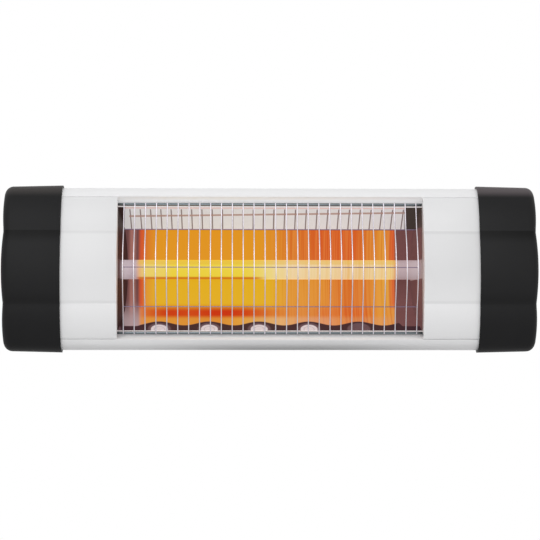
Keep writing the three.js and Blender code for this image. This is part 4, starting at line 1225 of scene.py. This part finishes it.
def panScrew(name, headRadius, shankRadius, length):  # its seat is at the origin and it points down
    s = screws
    height = headRadius * s["headHeight"]
    head = cylinder(name, headRadius, height, 32, (0, 0, height / 2 * mm))
    bevelled(head, lambda co: co.z > height * 0.9 * mm, height * 0.6, 4)
    arm = [2 * headRadius * s["crossReach"], headRadius * s["crossWidth"], 2 * height * s["crossDepth"]]
    top = (0, 0, height * mm)
    arms = []
    for turn in (0, math.pi / 2):
        arms.append(fresh(bpy.ops.mesh.primitive_cube_add, "arm", size=1, rotation=(0, 0, turn),
                          location=top, scale=[part * mm for part in arm]))
        pick(arms[-1], lambda co: co.z < height * mm)
        bpy.ops.transform.resize(value=(s["crossTaper"], s["crossTaper"], 1), center_override=top)
        done()
    head = boolean(head, boolean(*arms, "UNION"), "DIFFERENCE")
    sunk = height * 0.15  # the shank's top, inside the head
    shank = cylinder("shank", shankRadius, sunk + length, 20, (0, 0, (sunk - length) / 2 * mm))
    bevelled(shank, lambda co: co.z < -length * 0.9 * mm, shankRadius * 0.4, 2)
    return smooth(boolean(head, shank, "UNION"))


def screwSeat(node, headRadius):  # the turn and place of a screw, read from its node
    low, high = (Vector(corner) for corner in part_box(node))
    size = high - low
    axis = max(range(3), key=lambda i: size[i])
    middle = (low + high) / 2
    reach = headRadius * 0.9 * mm
    wide = [vertex.co[axis] for vertex in frame["nodes"][node].data.vertices
            if sum((vertex.co[i] - middle[i]) ** 2 for i in range(3) if i != axis) > reach ** 2]
    way = 1 if sum(wide) / len(wide) > middle[axis] else -1
    seat = middle.copy()
    seat[axis] = (high if way > 0 else low)[axis] - way * headRadius * screws["headHeight"] * mm
    up = Vector([way if i == axis else 0 for i in range(3)])
    return Matrix.Translation(seat) @ up.to_track_quat("Z", "X").to_matrix().to_4x4()


for sort, (headRadius, shankRadius, length, nodes) in screws["sorts"].items():
    first = panScrew(sort, headRadius, shankRadius, length)
    for i, node in enumerate(nodes):
        turn = Matrix.Rotation(screws["turn"] * (i + 1), 4, "Z")
        screw = twin(first, camel(node), screwSeat(node, headRadius) @ turn)
        hand(screw, "zinc_steel", node)
    bpy.data.objects.remove(first)
print("screws made")


# the other hard pieces keep their solid and get eased edges

easedPieces = {
    # node: body, how far its edges are eased in millimetres, and slot; {side} is left and right
    "rear_panel": ("heater", 0.3, "white_enamel"),
    "{side}_bulkhead": ("heater", 0.3, "zinc_steel"),
    "mounting_saddle": ("heater", 0.4, "white_enamel"),
    "wall_bracket": ("bracket", 0.5, "white_enamel"),
    "{side}_friction_washer": ("bracket", 0.25, "nylon_grey"),
    "{side}_pivot_bolt": ("heater", 0.3, "zinc_steel"),
    "{side}_tilt_knob": ("{side}_knob", 0.8, "end_cap_plastic"),
    "{side}_lamp_clip": ("heater", 0.25, "zinc_steel"),
    "{side}_lamp_ferrule": ("heater", 0.5, "steatite"),
    "{side}_lamp_terminal": ("heater", 0.3, "brass_plain"),
    "{side}_grommet": ("heater", 0.4, "rubber_black"),
    "terminal_block": ("heater", 0.5, "steatite"),
    "earth_ring_tag": ("heater", 0.15, "brass_plain"),
    "gland_body": ("heater", 0.3, "end_cap_plastic"),
    "gland_locknut": ("heater", 0.3, "end_cap_plastic"),
    "gland_dome_nut": ("heater", 0.5, "end_cap_plastic"),
}
for pattern, (body, width, slot) in easedPieces.items():
    for side in sides if "{side}" in pattern else [""]:
        node = pattern.format(side=side)
        hand(rounded(node, width, 3), slot, node, body=body.format(side=side))
print("eased pieces made")


# the leads inside the caps

leads = {
    "line_lead": "sleeve_brown",
    "return_lead": "sleeve_blue",
    "earth_lead": "sleeve_green_yellow",
}
for node, slot in leads.items():
    lead = modify(rounded(node, 0), "SUBSURF", levels=1, render_levels=1)
    hand(smooth(lead, 60), slot, node)
print("leads made")


# camera, lights and floor

studio = {
    "cameraPlace": (-0.040, -1.950, -0.133),
    "cameraAim": (-0.0002, -0.120, -0.0015),
    "lens": 108.5,
    "worldLight": (0.14, 0.68),  # from below and from above
    "worldBand": 0.6,  # the sine of the slope at which each is reached
    "floorHeight": -0.62,
    "floorSize": 5,
    "floorGrey": (0.6, 0.6, 0.6, 1),
    "floorWhiteness": 0.7,  # as it is seen
    "lamps": [
        # place, size in metres, power in watts
        ((-0.6, -2.6, 1.0), 2.2, 31),
        ((1.4, -2.2, 0.1), 1.6, 6),
    ],
}


def camera():
    bpy.ops.object.camera_add(location=studio["cameraPlace"])
    eye = made("camera")
    eye.data.lens = studio["lens"]
    eye.data.sensor_width = 36
    toAim = Vector(studio["cameraAim"]) - Vector(studio["cameraPlace"])
    eye.rotation_euler = toAim.to_track_quat("-Z", "Y").to_euler()
    bpy.context.scene.camera = eye


def softLamp(place, size, power):
    bpy.ops.object.light_add(type="AREA", location=place)
    light = made("softLamp")
    light.data.shape = "SQUARE"
    light.data.size = size
    light.data.energy = power
    light.rotation_euler = (-Vector(place)).to_track_quat("-Z", "Y").to_euler()


def seenDirectly(nodes):  # 1 for camera, glossy and transmission rays
    seen, glossy, through = (nodes.add("LightPath", out=f"Is {kind} Ray")
                             for kind in ("Camera", "Glossy", "Transmission"))
    return seen.math("MAXIMUM", glossy).math("MAXIMUM", through)


def room():  # brighter above the object than below it, and plain white where it is seen
    world = bpy.data.worlds.new("room")
    bpy.context.scene.world = world
    world.use_nodes = True
    nodes = Nodes(world.node_tree)
    way = nodes.add("TexCoord", out="Generated")
    height = nodes.add("SeparateXYZ", {0: way}, "Z")
    band = studio["worldBand"]
    below, above = studio["worldLight"]
    light = nodes.add("MapRange", {
        "Value": height, "From Min": -band, "From Max": band, "To Min": below, "To Max": above})
    strength = nodes.add("MapRange", {"Value": seenDirectly(nodes), "To Min": light})
    background = world.node_tree.nodes["Background"]
    background.inputs["Color"].default_value = (1, 1, 1, 1)
    nodes.link(background.inputs["Strength"], strength)


def floor():
    ground = fresh(bpy.ops.mesh.primitive_plane_add, "floor", size=studio["floorSize"],
                   location=(0, 0, studio["floorHeight"]))
    material = emptyMaterial("paleFloor")
    nodes = Nodes(material.node_tree)
    share = nodes.add("MapRange", {"Value": seenDirectly(nodes), "To Max": studio["floorWhiteness"]})
    paint = nodes.add("BsdfDiffuse", {"Color": studio["floorGrey"]})
    white = nodes.add("Emission", {"Strength": 1})
    blend = nodes.add("MixShader", {0: share, 1: paint, 2: white})
    output = nodes.tree.nodes.new("ShaderNodeOutputMaterial")
    nodes.link(output.inputs["Surface"], blend)
    ground.data.materials.append(material)


camera()
for light in studio["lamps"]:
    softLamp(*light)
room()
floor()
bpy.context.scene.view_settings.view_transform = "Standard"
print("stage set")
